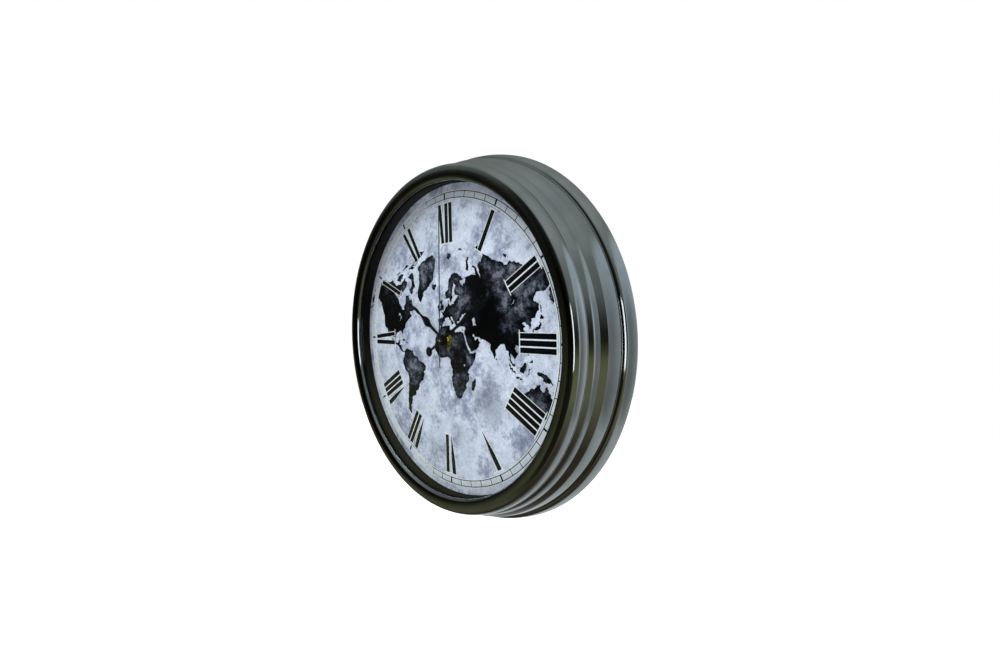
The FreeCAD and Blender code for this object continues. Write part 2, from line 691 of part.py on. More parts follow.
def keyhole_eye():
    """Centre of the keyhole's round end."""
    return (0.0, HANGER_HEIGHT - KEYHOLE_DROP)


def hanger_screws():
    """Two screws that hold the hanger."""
    seat = RIM_Y + HANGER_THICKNESS
    length = HANGER_SCREW_LENGTH + HANGER_THICKNESS
    screws = [pan_screw(at, HANGER_SCREW_HEAD_HEIGHT, seat, length) for at in hanger_screw_places()]
    return Part.makeCompound(screws)


def wall_pads():
    """Rubber pads that keep the cover off the wall."""
    places = spread(PAD_COUNT, CASE_RADIUS - PAD_INSET, math.pi / PAD_COUNT)
    return Part.makeCompound([rod(PAD_RADIUS, RIM_Y, 0.0, at) for at in places])


def pivot_hole(at, near, far, radius=PIVOT_RADIUS):
    """Hole for a pivot, with its running fit."""
    return rod(radius + RUNNING_FIT, near, far, at)


def plate_post_places():
    """Places of the four posts that carry the centre plate."""
    side = INNER_SIDE - PLATE_POST_INSET
    top, foot = INNER_TOP - PLATE_POST_INSET, CHAMBER_FOOT + PLATE_POST_INSET
    return [(-side, foot), (side, foot), (-side, top), (side, top)]


def housing_block(near, far):
    """A block with the movement's outline, between two depths."""
    return round_slab(-HOUSING_SIDE, HOUSING_SIDE, near, far, HOUSING_FOOT, HOUSING_TOP, MOVEMENT_CORNER)


def movement_front():
    """Tray on the dial side, with the hole for the bush and the posts under the centre plate."""
    tray = housing_block(MOVEMENT_Y, SPLIT_Y)
    floor_y = MOVEMENT_Y + HOUSING_WALL
    tray = tray.cut(slab(-INNER_SIDE, INNER_SIDE, floor_y, SPLIT_Y + CUT, INNER_FOOT, INNER_TOP))
    tray = tray.fuse([rod(PLATE_POST_RADIUS, floor_y, PLATE_Y, at) for at in plate_post_places()])
    holes = [rod(BUSH_HOLE, MOVEMENT_Y - CUT, floor_y + CUT)]
    for at in (MOTION_SPOT, SETTING_SPOT):
        holes.append(pivot_hole(at, floor_y - PIVOT_LENGTH - RUNNING_FIT, floor_y + CUT))
    return tray.cut(holes)


def movement_rear():
    """Cover of the movement: a closed chamber over the train and an open bay for the battery."""
    lid = housing_block(SPLIT_Y, MOVEMENT_REAR_Y)
    chamber = slab(-INNER_SIDE, INNER_SIDE, SPLIT_Y - CUT, REAR_WALL_Y, CHAMBER_FOOT, INNER_TOP)
    bay = slab(-INNER_SIDE, INNER_SIDE, SPLIT_Y - CUT, MOVEMENT_REAR_Y + CUT, INNER_FOOT, BAY_TOP)
    posts = [rod(BOARD_POST_RADIUS, circuit_rear_y(), REAR_WALL_Y, at) for at in board_post_places()]
    lid = lid.cut([chamber, bay]).fuse(posts)
    holes = [rod(KNOB_STEM_RADIUS + RUNNING_FIT, REAR_WALL_Y - CUT, MOVEMENT_REAR_Y + CUT, SETTING_SPOT)]
    for at in (AXIS, THIRD_SPOT, FIFTH_SPOT, ROTOR_SPOT):
        holes.append(pivot_hole(at, REAR_WALL_Y - CUT, REAR_WALL_Y + PIVOT_LENGTH + RUNNING_FIT))
    return lid.cut(holes)


def centre_plate():
    """Plate between the motion work and the going train, with the posts that carry the stator."""
    side = INNER_SIDE - PLATE_CLEARANCE
    plate = slab(-side, side, PLATE_Y, PLATE_REAR_Y, CHAMBER_FOOT, INNER_TOP - PLATE_CLEARANCE)
    plate = plate.fuse([rod(STATOR_POST_RADIUS, PLATE_REAR_Y, STATOR_Y, at) for at in stator_post_places()])
    near, far = PLATE_Y - CUT, PLATE_REAR_Y + CUT
    holes = [rod(MINUTE_PIPE_RADIUS + RUNNING_FIT, near, far)]
    holes.append(rod(KNOB_STEM_RADIUS + RUNNING_FIT, near, far, SETTING_SPOT))
    holes += [pivot_hole(at, near, far) for at in (THIRD_SPOT, FIFTH_SPOT, ROTOR_SPOT, MOTION_SPOT)]
    return plate.cut(holes)


def centre_bush():
    """Brass bush that clamps the movement to the dial and guides the hour pipe."""
    floor_y = MOVEMENT_Y + HOUSING_WALL
    sleeve = tube(BUSH_BORE, BUSH_RADIUS, BUSH_END_Y, floor_y + BUSH_FLANGE_THICKNESS)
    return sleeve.fuse(tube(BUSH_BORE, BUSH_FLANGE_RADIUS, floor_y, floor_y + BUSH_FLANGE_THICKNESS))


def rubber_washer():
    """Rubber washer between the dial board and the movement."""
    return tube(BUSH_HOLE, RUBBER_WASHER_RADIUS, BOARD_REAR_Y, MOVEMENT_Y)


def flat_washer():
    """Brass washer on the dial."""
    return tube(BUSH_RADIUS + WASHER_CLEARANCE, WASHER_RADIUS, WASHER_Y, DIAL_Y)


def hex_nut():
    """Brass nut on the bush."""
    corner = NUT_FLATS / 2 / math.cos(math.pi / 6)
    turns = [math.pi * step / 3 for step in range(6)]
    corners = [(corner * math.cos(turn), corner * math.sin(turn)) for turn in turns]
    hexagon = Outline(corners[0], front_view).line(*corners[1:])
    return cut_out(hexagon.face(), NUT_Y, WASHER_Y).cut(rod(BUSH_HOLE, NUT_Y - CUT, WASHER_Y + CUT))


def arbor(at, near, far):
    """An arbor with a pivot at each end."""
    return rod(ARBOR_RADIUS, near, far, at).fuse(
        [rod(PIVOT_RADIUS, near - PIVOT_LENGTH, near, at), rod(PIVOT_RADIUS, far, far + PIVOT_LENGTH, at)]
    )


def joined(*shapes):
    """Shapes of one moulding, fused."""
    return shapes[0].fuse(list(shapes[1:])).removeSplitter()


PHASE_THIRD_WHEEL = mesh_phase(0.0, SECONDS_PINION_TEETH, THIRD_WHEEL_TEETH, THIRD_BEARING)
PHASE_CENTRE_WHEEL = mesh_phase(0.0, THIRD_PINION_TEETH, CENTRE_WHEEL_TEETH, THIRD_BEARING + math.pi)
PHASE_FIFTH_PINION = mesh_phase(0.0, SECONDS_WHEEL_TEETH, FIFTH_PINION_TEETH, FIFTH_BEARING)
PHASE_ROTOR_PINION = mesh_phase(0.0, FIFTH_WHEEL_TEETH, ROTOR_PINION_TEETH, ROTOR_BEARING)
PHASE_MOTION_WHEEL = mesh_phase(0.0, CANNON_PINION_TEETH, MOTION_WHEEL_TEETH, MOTION_BEARING)
PHASE_HOUR_WHEEL = mesh_phase(0.0, MOTION_PINION_TEETH, HOUR_WHEEL_TEETH, MOTION_BEARING + math.pi)
PHASE_SETTING_GEAR = mesh_phase(
    PHASE_MOTION_WHEEL, MOTION_WHEEL_TEETH, SETTING_GEAR_TEETH, SETTING_BEARING
)


def rotor():
    """Rotor of the stepping motor: shaft, magnet and pinion."""
    magnet_y = STATOR_Y + STATOR_THICKNESS / 2 - MAGNET_LENGTH / 2
    return joined(
        arbor(ROTOR_SPOT, PLATE_REAR_Y + PINION_OVERRUN, REAR_WALL_Y - PINION_OVERRUN),
        rod(MAGNET_RADIUS, magnet_y, magnet_y + MAGNET_LENGTH, ROTOR_SPOT),
        gear(ROTOR_PINION_TEETH, FIFTH_MODULE, PHASE_ROTOR_PINION, FIFTH_LAYER_Y, ROTOR_SPOT, pinion=True),
    )


def fifth_wheel():
    """Wheel and pinion between the rotor and the seconds wheel."""
    return joined(
        arbor(FIFTH_SPOT, PLATE_REAR_Y + PINION_OVERRUN, REAR_WALL_Y - PINION_OVERRUN),
        gear(FIFTH_PINION_TEETH, SECONDS_MODULE, PHASE_FIFTH_PINION, SECONDS_LAYER_Y, FIFTH_SPOT, pinion=True),
        gear(FIFTH_WHEEL_TEETH, FIFTH_MODULE, 0.0, FIFTH_LAYER_Y, FIFTH_SPOT),
    )


def seconds_wheel():
    """Seconds wheel with its pinion and the long arbor that carries the seconds hand."""
    rear = REAR_WALL_Y - PINION_OVERRUN
    return joined(
        rod(SECONDS_ARBOR_RADIUS, SECONDS_END_Y, rear),
        rod(PIVOT_RADIUS, rear, rear + PIVOT_LENGTH),
        gear(SECONDS_PINION_TEETH, THIRD_MODULE, 0.0, THIRD_LAYER_Y, pinion=True),
        gear(SECONDS_WHEEL_TEETH, SECONDS_MODULE, 0.0, SECONDS_LAYER_Y),
    )


def third_wheel():
    """Third wheel and pinion."""
    return joined(
        arbor(THIRD_SPOT, PLATE_REAR_Y + PINION_OVERRUN, REAR_WALL_Y - PINION_OVERRUN),
        gear(THIRD_PINION_TEETH, CENTRE_MODULE, 0.0, CENTRE_LAYER_Y, THIRD_SPOT, pinion=True),
        gear(THIRD_WHEEL_TEETH, THIRD_MODULE, PHASE_THIRD_WHEEL, THIRD_LAYER_Y, THIRD_SPOT),
    )


def centre_wheel():
    """Centre wheel, held by friction on the rear end of the minute pipe."""
    wheel = gear(CENTRE_WHEEL_TEETH, CENTRE_MODULE, PHASE_CENTRE_WHEEL, CENTRE_LAYER_Y)
    return wheel.cut(rod(MINUTE_PIPE_RADIUS + SEAT_FIT, CENTRE_LAYER_Y - CUT, THIRD_LAYER_Y))


def cannon_pinion():
    """Minute pipe with the cannon pinion, from the centre wheel to the minute hand."""
    pipe = joined(
        rod(MINUTE_PIPE_RADIUS, MINUTE_PIPE_END_Y, CENTRE_LAYER_Y + WHEEL_THICKNESS),
        gear(CANNON_PINION_TEETH, MOTION_MODULE, 0.0, MOTION_LAYER_Y, pinion=True),
    )
    return pipe.cut(rod(MINUTE_PIPE_BORE, MINUTE_PIPE_END_Y - CUT, THIRD_LAYER_Y))


def motion_wheel():
    """Motion wheel and pinion, between the cannon pinion and the hour wheel."""
    front = MOVEMENT_Y + HOUSING_WALL + PINION_OVERRUN
    return joined(
        arbor(MOTION_SPOT, front, PLATE_Y - PINION_OVERRUN),
        gear(MOTION_PINION_TEETH, HOUR_MODULE, 0.0, HOUR_LAYER_Y, MOTION_SPOT, pinion=True),
        gear(MOTION_WHEEL_TEETH, MOTION_MODULE, PHASE_MOTION_WHEEL, MOTION_LAYER_Y, MOTION_SPOT),
    )


def hour_wheel():
    """Hour wheel with the pipe that carries the hour hand."""
    pipe = joined(
        rod(HOUR_PIPE_RADIUS, HOUR_PIPE_END_Y, HOUR_LAYER_Y + WHEEL_THICKNESS),
        gear(HOUR_WHEEL_TEETH, HOUR_MODULE, PHASE_HOUR_WHEEL, HOUR_LAYER_Y),
    )
    return pipe.cut(rod(HOUR_PIPE_BORE, HOUR_PIPE_END_Y - CUT, MOTION_LAYER_Y))


def setting_knob():
    """Knob on the rear that turns the motion wheel to set the hands."""
    front = MOVEMENT_Y + HOUSING_WALL + PINION_OVERRUN
    knob_y = MOVEMENT_REAR_Y + KNOB_GAP
    knob = rod(KNOB_RADIUS, knob_y, knob_y + KNOB_HEIGHT, SETTING_SPOT)
    setting_gear = gear(
        SETTING_GEAR_TEETH, MOTION_MODULE, PHASE_SETTING_GEAR, MOTION_LAYER_Y, SETTING_SPOT, pinion=True
    )
    chamfer_y = knob_y + KNOB_HEIGHT - KNOB_CHAMFER
    rear_edge = [edge for edge in knob.Edges if edge.CenterOfMass.y > chamfer_y]
    grooves = []
    for x, z in spread(KNOB_GROOVE_COUNT, KNOB_RADIUS):
        groove_at = (SETTING_SPOT[0] + x, SETTING_SPOT[1] + z)
        grooves.append(rod(KNOB_GROOVE_RADIUS, knob_y - CUT, knob_y + KNOB_HEIGHT + CUT, groove_at))
    return joined(
        knob.makeChamfer(KNOB_CHAMFER, rear_edge).cut(grooves),
        rod(KNOB_STEM_RADIUS, MOTION_LAYER_Y, knob_y, SETTING_SPOT),
        rod(ARBOR_RADIUS, front, MOTION_LAYER_Y, SETTING_SPOT),
        rod(PIVOT_RADIUS, front - PIVOT_LENGTH, front, SETTING_SPOT),
        setting_gear,
    )


def coil_z():
    """Height of the coil's axis, under the top wall."""
    return INNER_TOP - COIL_SETBACK - COIL_RADIUS


def stator_limits():
    """Left and right ends of the stator, and the left end of the coil between its arms."""
    right = INNER_SIDE - COIL_SETBACK
    coil_right = right - STATOR_ARM - COIL_SETBACK
    coil_left = coil_right - COIL_LENGTH
    return (coil_left - COIL_SETBACK - STATOR_ARM, right, coil_left)


def stator_post_places():
    """Places of the posts that carry the stator."""
    left, right, _ = stator_limits()
    half_arm = STATOR_ARM / 2
    top = INNER_TOP - MOTOR_EDGE_GAP - STATOR_POST_RADIUS
    return [(left + half_arm, top), (right - half_arm, ROTOR_SPOT[1]), (right - half_arm, top)]


def stator():
    """Stator plate: two arms round the rotor that reach up to the ends of the coil's core."""
    left, right, _ = stator_limits()
    top = INNER_TOP - MOTOR_EDGE_GAP
    block_left = ROTOR_SPOT[0] - STATOR_BLOCK_WIDTH / 2
    block_top = ROTOR_SPOT[1] + STATOR_BLOCK_TALL / 2
    block_foot = ROTOR_SPOT[1] - STATOR_BLOCK_TALL / 2
    strip_top = coil_z() - COIL_RADIUS - MOTOR_EDGE_GAP
    strip_foot = strip_top - STATOR_STRIP
    rear = STATOR_Y + STATOR_THICKNESS
    plate = Outline((block_left, block_foot), front_view)
    plate.line((right, block_foot), (right, top), (right - STATOR_ARM, top), (right - STATOR_ARM, block_top))
    plate.line((block_left + STATOR_ARM, block_top), (block_left + STATOR_ARM, strip_top))
    plate.line((left + STATOR_ARM, strip_top), (left + STATOR_ARM, top), (left, top), (left, strip_foot))
    plate.line((block_left, strip_foot))
    rotor_hole = rod(MAGNET_RADIUS + STATOR_AIR_GAP, STATOR_Y - CUT, rear + CUT, ROTOR_SPOT)
    return cut_out(plate.face(), STATOR_Y, rear).cut(rotor_hole)


def coil_core():
    """Iron core through the coil, lying on the stator's two arms."""
    left, right, _ = stator_limits()
    half = CORE_WIDTH / 2
    return slab(left, right, CORE_Y, STATOR_Y, coil_z() - half, coil_z() + half)


def bobbin_tube(left, right, grow):
    """A block round the core, grown on its four sides."""
    half = CORE_WIDTH / 2 + grow
    return slab(left, right, CORE_Y - grow, STATOR_Y + grow, coil_z() - half, coil_z() + half)


def coil_bobbin():
    """Bobbin with a flange at each end."""
    _, _, left = stator_limits()
    right = left + COIL_LENGTH
    grow = BOBBIN_WALL + BOBBIN_CLEARANCE
    flanges = [slab(x, x + BOBBIN_FLANGE, COIL_Y - COIL_RADIUS, COIL_Y + COIL_RADIUS,
                    coil_z() - COIL_RADIUS, coil_z() + COIL_RADIUS) for x in (left, right - BOBBIN_FLANGE)]
    body = bobbin_tube(left, right, grow).fuse(flanges)
    return body.cut(bobbin_tube(left - CUT, right + CUT, BOBBIN_CLEARANCE))


def coil_winding():
    """Copper winding between the bobbin's flanges."""
    _, _, left = stator_limits()
    near = left + BOBBIN_FLANGE
    length = COIL_LENGTH - 2 * BOBBIN_FLANGE
    radius = COIL_RADIUS - WINDING_INSET
    wound = Part.makeCylinder(radius, length, Vector(near, COIL_Y, coil_z()), Vector(1, 0, 0))
    return wound.cut(bobbin_tube(near - CUT, near + length + CUT, BOBBIN_WALL + BOBBIN_CLEARANCE))


def circuit_y():
    """Front face of the circuit board, clear of the seconds wheel and the chip's seat."""
    return SECONDS_LAYER_Y + WHEEL_THICKNESS + BOARD_SETBACK


def circuit_rear_y():
    """Rear face of the circuit board, on its posts."""
    return circuit_y() + BOARD_THICKNESS


def board_left():
    """Left edge of the circuit board."""
    return -INNER_SIDE + BOARD_SETBACK


def board_foot():
    """Lower edge of the circuit board."""
    return THIRD_SPOT[1] - BOARD_TALL / 2


def board_post_places():
    """Places of the posts that carry the circuit board."""
    x = board_left() + BOARD_POST_INSET
    return [(x, board_foot() + BOARD_POST_INSET), (x, board_foot() + BOARD_TALL - BOARD_POST_INSET)]


def circuit_board():
    """Circuit board."""
    return slab(board_left(), board_left() + BOARD_WIDTH, circuit_y(), circuit_rear_y(),
                board_foot(), board_foot() + BOARD_TALL)


def chip():
    """Drop of resin over the chip."""
    x = board_left() + BOARD_WIDTH / 2
    z = board_foot() + BOARD_TALL / 2
    half = CHIP_WIDTH / 2
    near = circuit_y() - CHIP_HEIGHT
    return round_slab(x - half, x + half, near, circuit_y(), z - half, z + half, CHIP_ROUND)


def crystal():
    """Quartz crystal in its can, lying on the rear of the board."""
    x = board_left() + BOARD_WIDTH / 2
    foot = board_foot() + BOARD_TALL / 2
    y = circuit_rear_y() + CRYSTAL_RADIUS
    can = Part.makeCylinder(CRYSTAL_RADIUS, CRYSTAL_LENGTH, Vector(x, y, foot), Vector(0, 0, 1))
    neck = Part.makeCylinder(CRYSTAL_RADIUS - CRYSTAL_SHOULDER, CRYSTAL_SHOULDER,
                             Vector(x, y, foot - CRYSTAL_SHOULDER), Vector(0, 0, 1))
    return can.fuse(neck)


def cell_right():
    """Right end of the cell's body, where its nub meets the positive contact."""
    return INNER_SIDE - CONTACT_THICKNESS - CELL_NUB_LENGTH


def battery():
    """AA cell."""
    left = cell_right() - CELL_LENGTH
    can = Part.makeCylinder(CELL_RADIUS, CELL_LENGTH, Vector(left, CELL_Y, CELL_Z), Vector(1, 0, 0))
    rims = [edge for edge in can.Edges if edge.BoundBox.XLength < CELL_SHOULDER]
    shoulder = Vector(cell_right(), CELL_Y, CELL_Z)
    nub = Part.makeCylinder(CELL_NUB_RADIUS, CELL_NUB_LENGTH, shoulder, Vector(1, 0, 0))
    return can.makeChamfer(CELL_SHOULDER, rims).fuse(nub)


def positive_contact():
    """Plate against the bay's right wall."""
    half_wide, half_tall = CONTACT_WIDTH / 2, CONTACT_TALL / 2
    return slab(INNER_SIDE - CONTACT_THICKNESS, INNER_SIDE, CELL_Y - half_wide, CELL_Y + half_wide,
                CELL_Z - half_tall, CELL_Z + half_tall)


def negative_contact():
    """Bent leaf spring between the bay's left wall and the cell."""
    wall_x = -INNER_SIDE
    cell_x = cell_right() - CELL_LENGTH
    half_tall = CONTACT_TALL / 2
    face_x = wall_x + CONTACT_THICKNESS
    leaf = Outline((wall_x, CELL_Z - half_tall), front_view)
    leaf.line((face_x, CELL_Z - half_tall), (face_x, CELL_Z + half_tall / 2))
    leaf.line((cell_x - CONTACT_THICKNESS, CELL_Z), (cell_x, CELL_Z))
    leaf.line((face_x, CELL_Z + half_tall), (wall_x, CELL_Z + half_tall))
    half_wide = CONTACT_WIDTH / 2
    return cut_out(leaf.face(), CELL_Y - half_wide, CELL_Y + half_wide)


def blade(length, half_width, root_share, edge_shares, near):
    """A pointed hand up from the axis, whose two edges are the same run of arcs."""
    def point(side, at):
        return (side * half_width * at[1], length * at[0])

    root = (0.0, root_share)
    edge = Outline(point(1, root), front_view)
    for middle, end in edge_shares:
        edge.arc(point(1, middle), point(1, end))
    ends = [root] + [end for _, end in edge_shares]
    edge.line(point(-1, ends[-1]))
    for step in range(len(edge_shares), 0, -1):
        edge.arc(point(-1, edge_shares[step - 1][0]), point(-1, ends[step - 1]))
    return cut_out(edge.face(), near, near + HAND_THICKNESS)


def hand_hole(bore, near):
    """Cutter for the hole by which a hand sits on its pipe."""
    return rod(bore, near - CUT, near + HAND_THICKNESS + CUT)


def hour_hand():
    """Hour hand on its hub."""
    point = blade(HOUR_LENGTH, HOUR_HALF_WIDTH, HOUR_ROOT_SHARE, HOUR_EDGE_SHARES, HOUR_HAND_Y)
    hand = joined(point, rod(HOUR_HUB_RADIUS, HOUR_HAND_Y, HOUR_HAND_Y + HAND_THICKNESS))
    return rotate(hand.cut(hand_hole(HOUR_PIPE_RADIUS + SEAT_FIT, HOUR_HAND_Y)), HOUR_TURN)


def minute_hand():
    """Minute hand with its round tail."""
    far = MINUTE_HAND_Y + HAND_THICKNESS
    neck = Outline((MINUTE_TAIL_ROOT, 0.0), front_view)
    neck.line((MINUTE_TAIL_NECK, -MINUTE_TAIL_LENGTH), (-MINUTE_TAIL_NECK, -MINUTE_TAIL_LENGTH))
    neck.line((-MINUTE_TAIL_ROOT, 0.0))
    hand = joined(
        blade(MINUTE_LENGTH, MINUTE_HALF_WIDTH, MINUTE_ROOT_SHARE, MINUTE_EDGE_SHARES, MINUTE_HAND_Y),
        rod(MINUTE_HUB_RADIUS, MINUTE_HAND_Y, far),
        rod(MINUTE_TAIL_RADIUS, MINUTE_HAND_Y, far, (0.0, -MINUTE_TAIL_LENGTH)),
        cut_out(neck.face(), MINUTE_HAND_Y, far),
    )
    return rotate(hand.cut(hand_hole(MINUTE_PIPE_RADIUS + SEAT_FIT, MINUTE_HAND_Y)), MINUTE_TURN)


def lozenge(half_wide, half_long, near, far):
    """A lozenge on the seconds hand, between two depths."""
    outline = Outline((half_wide, SECOND_ORNAMENT_AT), front_view)
    outline.line((0.0, SECOND_ORNAMENT_AT + half_long), (-half_wide, SECOND_ORNAMENT_AT))
    outline.line((0.0, SECOND_ORNAMENT_AT - half_long))
    return cut_out(outline.face(), near, far)


def second_hand():
    """Thin seconds hand with an open lozenge near the hub."""
    far = SECOND_HAND_Y + HAND_THICKNESS
    half_wide, half_long = SECOND_ORNAMENT_HALF_WIDTH, SECOND_ORNAMENT_HALF_LENGTH
    open_wide, open_long = half_wide * SECOND_ORNAMENT_OPEN_SHARE, half_long * SECOND_ORNAMENT_OPEN_SHARE
    frame = lozenge(half_wide, half_long, SECOND_HAND_Y, far)
    hand = joined(
        frame.cut(lozenge(open_wide, open_long, SECOND_HAND_Y - CUT, far + CUT)),
        slab(-SECOND_HALF_WIDTH, SECOND_HALF_WIDTH, SECOND_HAND_Y, far, -SECOND_TAIL_LENGTH, SECOND_LENGTH),
        rod(SECOND_HUB_RADIUS, SECOND_HAND_Y, far),
    )
    return rotate(hand.cut(hand_hole(SECONDS_ARBOR_RADIUS + SEAT_FIT, SECOND_HAND_Y)), SECOND_TURN)


def hour_collet():
    """Brass collet behind the hour hand."""
    bore = HOUR_PIPE_RADIUS + SEAT_FIT
    near = HOUR_HAND_Y + HAND_THICKNESS
    return tube(bore, bore + COLLET_WALL, near, near + COLLET_LENGTH)


def minute_collet():
    """Brass collet behind the minute hand."""
    bore = MINUTE_PIPE_RADIUS + SEAT_FIT
    near = MINUTE_HAND_Y + HAND_THICKNESS
    return tube(bore, bore + COLLET_WALL, near, near + COLLET_LENGTH)


def second_socket():
    """Socket behind the seconds hand."""
    bore = SECONDS_ARBOR_RADIUS + SEAT_FIT
    near = SECOND_HAND_Y + HAND_THICKNESS
    return tube(bore, bore + SECOND_SOCKET_WALL, near, near + COLLET_LENGTH)


PIECES = (
    case_shell, glass_gasket, glass_lens, inner_ring, dial_sheet, dial_board,
    back_cover, cover_screws, hanger_plate, hanger_screws, wall_pads,
    movement_front, movement_rear, centre_plate, centre_bush, rubber_washer, flat_washer, hex_nut,
    rotor, fifth_wheel, seconds_wheel, third_wheel, centre_wheel,
    cannon_pinion, motion_wheel, hour_wheel, setting_knob,
    stator, coil_core, coil_bobbin, coil_winding, circuit_board, chip, crystal,
    battery, positive_contact, negative_contact,
    hour_hand, minute_hand, second_hand, hour_collet, minute_collet, second_socket,
)

os.makedirs("parts", exist_ok=True)
for piece in PIECES:
    shape = piece()
    if not shape.isValid():
        raise ValueError(piece.__name__ + " is not a valid shape")
    shape.exportStep(os.path.join("parts", piece.__name__ + ".step"))
    print(piece.__name__, len(shape.Solids), round(shape.Volume, 2))
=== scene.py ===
"""World time clock: fine forms, finishes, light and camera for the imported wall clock.

The clock's axis is Y, the dial faces -Y, Z is up and the wall is the plane Y = 0. Sizes in this file are
in millimetres, and are turned to metres where a mesh is made.
"""
import logging
import math
from dataclasses import dataclass
from enum import Enum

import bmesh
import bpy
from mathutils import Matrix, Vector, noise
from mathutils.geometry import delaunay_2d_cdt
from mathutils.kdtree import KDTree


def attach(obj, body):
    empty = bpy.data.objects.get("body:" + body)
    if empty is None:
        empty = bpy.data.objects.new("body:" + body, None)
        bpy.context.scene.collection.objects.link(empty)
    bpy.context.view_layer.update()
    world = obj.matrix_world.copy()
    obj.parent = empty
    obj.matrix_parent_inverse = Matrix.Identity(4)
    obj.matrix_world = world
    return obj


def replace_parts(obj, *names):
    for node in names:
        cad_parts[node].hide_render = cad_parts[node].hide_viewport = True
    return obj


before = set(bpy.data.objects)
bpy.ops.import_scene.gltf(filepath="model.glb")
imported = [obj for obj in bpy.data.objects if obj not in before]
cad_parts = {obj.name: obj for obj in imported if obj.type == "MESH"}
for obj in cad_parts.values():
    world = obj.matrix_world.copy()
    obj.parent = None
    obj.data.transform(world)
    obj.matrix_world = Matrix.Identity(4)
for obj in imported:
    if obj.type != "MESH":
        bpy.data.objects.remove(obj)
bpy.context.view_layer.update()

MM = 0.001
LOG = logging.getLogger("clock")

# Corners nearer than the first are one, and edges shorter than the second are none. Both are in metres.
WELD = 2e-6
SLIVER = 1e-7

# Triangles of a CAD node that lie this near to one plane are one face, in degrees
FLAT = 0.6

# Depths of the dial's front and of each layer of print. The ink's back lies just inside the paper, and a
# layer that covers another stands a little further out.
DIAL = -43.0
INK_REAR = -42.995
SPATTER_FRONT = -43.03
MAP_FRONT = -43.035
GROUND_FRONT = -43.04
PALE_FRONT = -43.045
LINE_FRONT = -43.055
TICK_FRONT = -43.058
NUMERAL_EDGE_FRONT = -43.06
BOLD_TICK_FRONT = -43.065
NUMERAL_FRONT = -43.08

Point = tuple[float, float]
Colour = tuple[float, float, float, float]


# Small helpers

def linear(code: str) -> Colour:
    """Turns an sRGB hex value to a linear colour.

    Args:
        code: Six hex digits.

    Returns:
        Red, green, blue and an alpha of one.
    """
    parts = [int(code[at:at + 2], 16) / 255 for at in (0, 2, 4)]
    lit = [part / 12.92 if part <= 0.04045 else ((part + 0.055) / 1.055) ** 2.4 for part in parts]
    return (lit[0], lit[1], lit[2], 1.0)


def add(tree: bpy.types.NodeTree, kind: str, settings: dict | None = None,
        links: dict | None = None) -> bpy.types.Node:
    """Adds a node with its settings and links.

    Args:
        tree: The tree that takes the node.
        kind: The node's type.
        settings: Values by name. A small first letter means a property, and a capital or a number an
            input socket. "stops" holds the places and colours of a ramp.
        links: Output sockets by the input that each feeds.

    Returns:
        The node.
    """
    made = tree.nodes.new(kind)
    for key, value in (settings or {}).items():
        if key == "stops":
            ramp = made.color_ramp
            while len(ramp.elements) < len(value):
                ramp.elements.new(1.0)
            for element, (place, tint) in zip(ramp.elements, value):
                element.position = place
                element.color = linear(tint) if isinstance(tint, str) else (tint, tint, tint, 1.0)
        elif isinstance(key, str) and key[0].islower():
            setattr(made, key, value)
        else:
            made.inputs[key].default_value = value
    for key, source in (links or {}).items():
        tree.links.new(source, made.inputs[key])
    return made


def solid(name: str, corners: list, faces: list, bend: float = 30.0) -> bpy.types.Object:
    """Makes an object from corners in millimetres.

    Args:
        name: The piece's name.
        corners: Corner points.
        faces: Corner numbers of each face.
        bend: Edges that bend by more than this many degrees stay sharp.

    Returns:
        The object, linked to the scene.
    """
    mesh = bpy.data.meshes.new(name)
    mesh.from_pydata([Vector(corner) * MM for corner in corners], [], faces)
    return placed(name, mesh, bend)


def placed(name: str, mesh: bpy.types.Mesh, bend: float = 30.0) -> bpy.types.Object:
    """Links a finished mesh to the scene, smooth but for its sharp edges.

    Args:
        name: The piece's name.
        mesh: Its mesh, in metres and in place.
        bend: Edges that bend by more than this many degrees stay sharp.

    Returns:
        The object.
    """
    mesh.validate()
    mesh.shade_smooth()
    mesh.set_sharp_from_angle(angle=math.radians(bend))
    piece = bpy.data.objects.new(name, mesh)
    bpy.context.scene.collection.objects.link(piece)
    return piece


def lathe(section: list[Point], steps: int, closed: bool = True) -> bpy.types.Mesh:
    """Turns a half section of radius and depth about the clock's axis.

    Args:
        section: Corners of the half section in millimetres.
        steps: Steps round the circle.
        closed: Whether the section's last corner joins its first. An open one ends on the axis.

    Returns:
        The closed mesh, in metres.
    """
    shape = bmesh.new()
    ring = [shape.verts.new((radius * MM, depth * MM, 0.0)) for radius, depth in section]
    pairs = list(zip(ring, ring[1:] + (ring[:1] if closed else [])))
    edges = [shape.edges.new(pair) for pair in pairs]
    bmesh.ops.spin(shape, geom=ring + edges, cent=(0, 0, 0), axis=(0, 1, 0), angle=math.tau,
                   steps=steps, use_merge=True)
    return welded(shape)


def welded(shape: bmesh.types.BMesh) -> bpy.types.Mesh:
    """Merges doubles, turns the faces outwards and frees the working mesh.

    Args:
        shape: The working mesh.

    Returns:
        The finished mesh.
    """
    bmesh.ops.remove_doubles(shape, verts=shape.verts, dist=WELD)
    bmesh.ops.dissolve_degenerate(shape, edges=shape.edges, dist=SLIVER)
    bmesh.ops.recalc_face_normals(shape, faces=shape.faces)
    mesh = bpy.data.meshes.new("mesh")
    shape.to_mesh(mesh)
    shape.free()
    return mesh


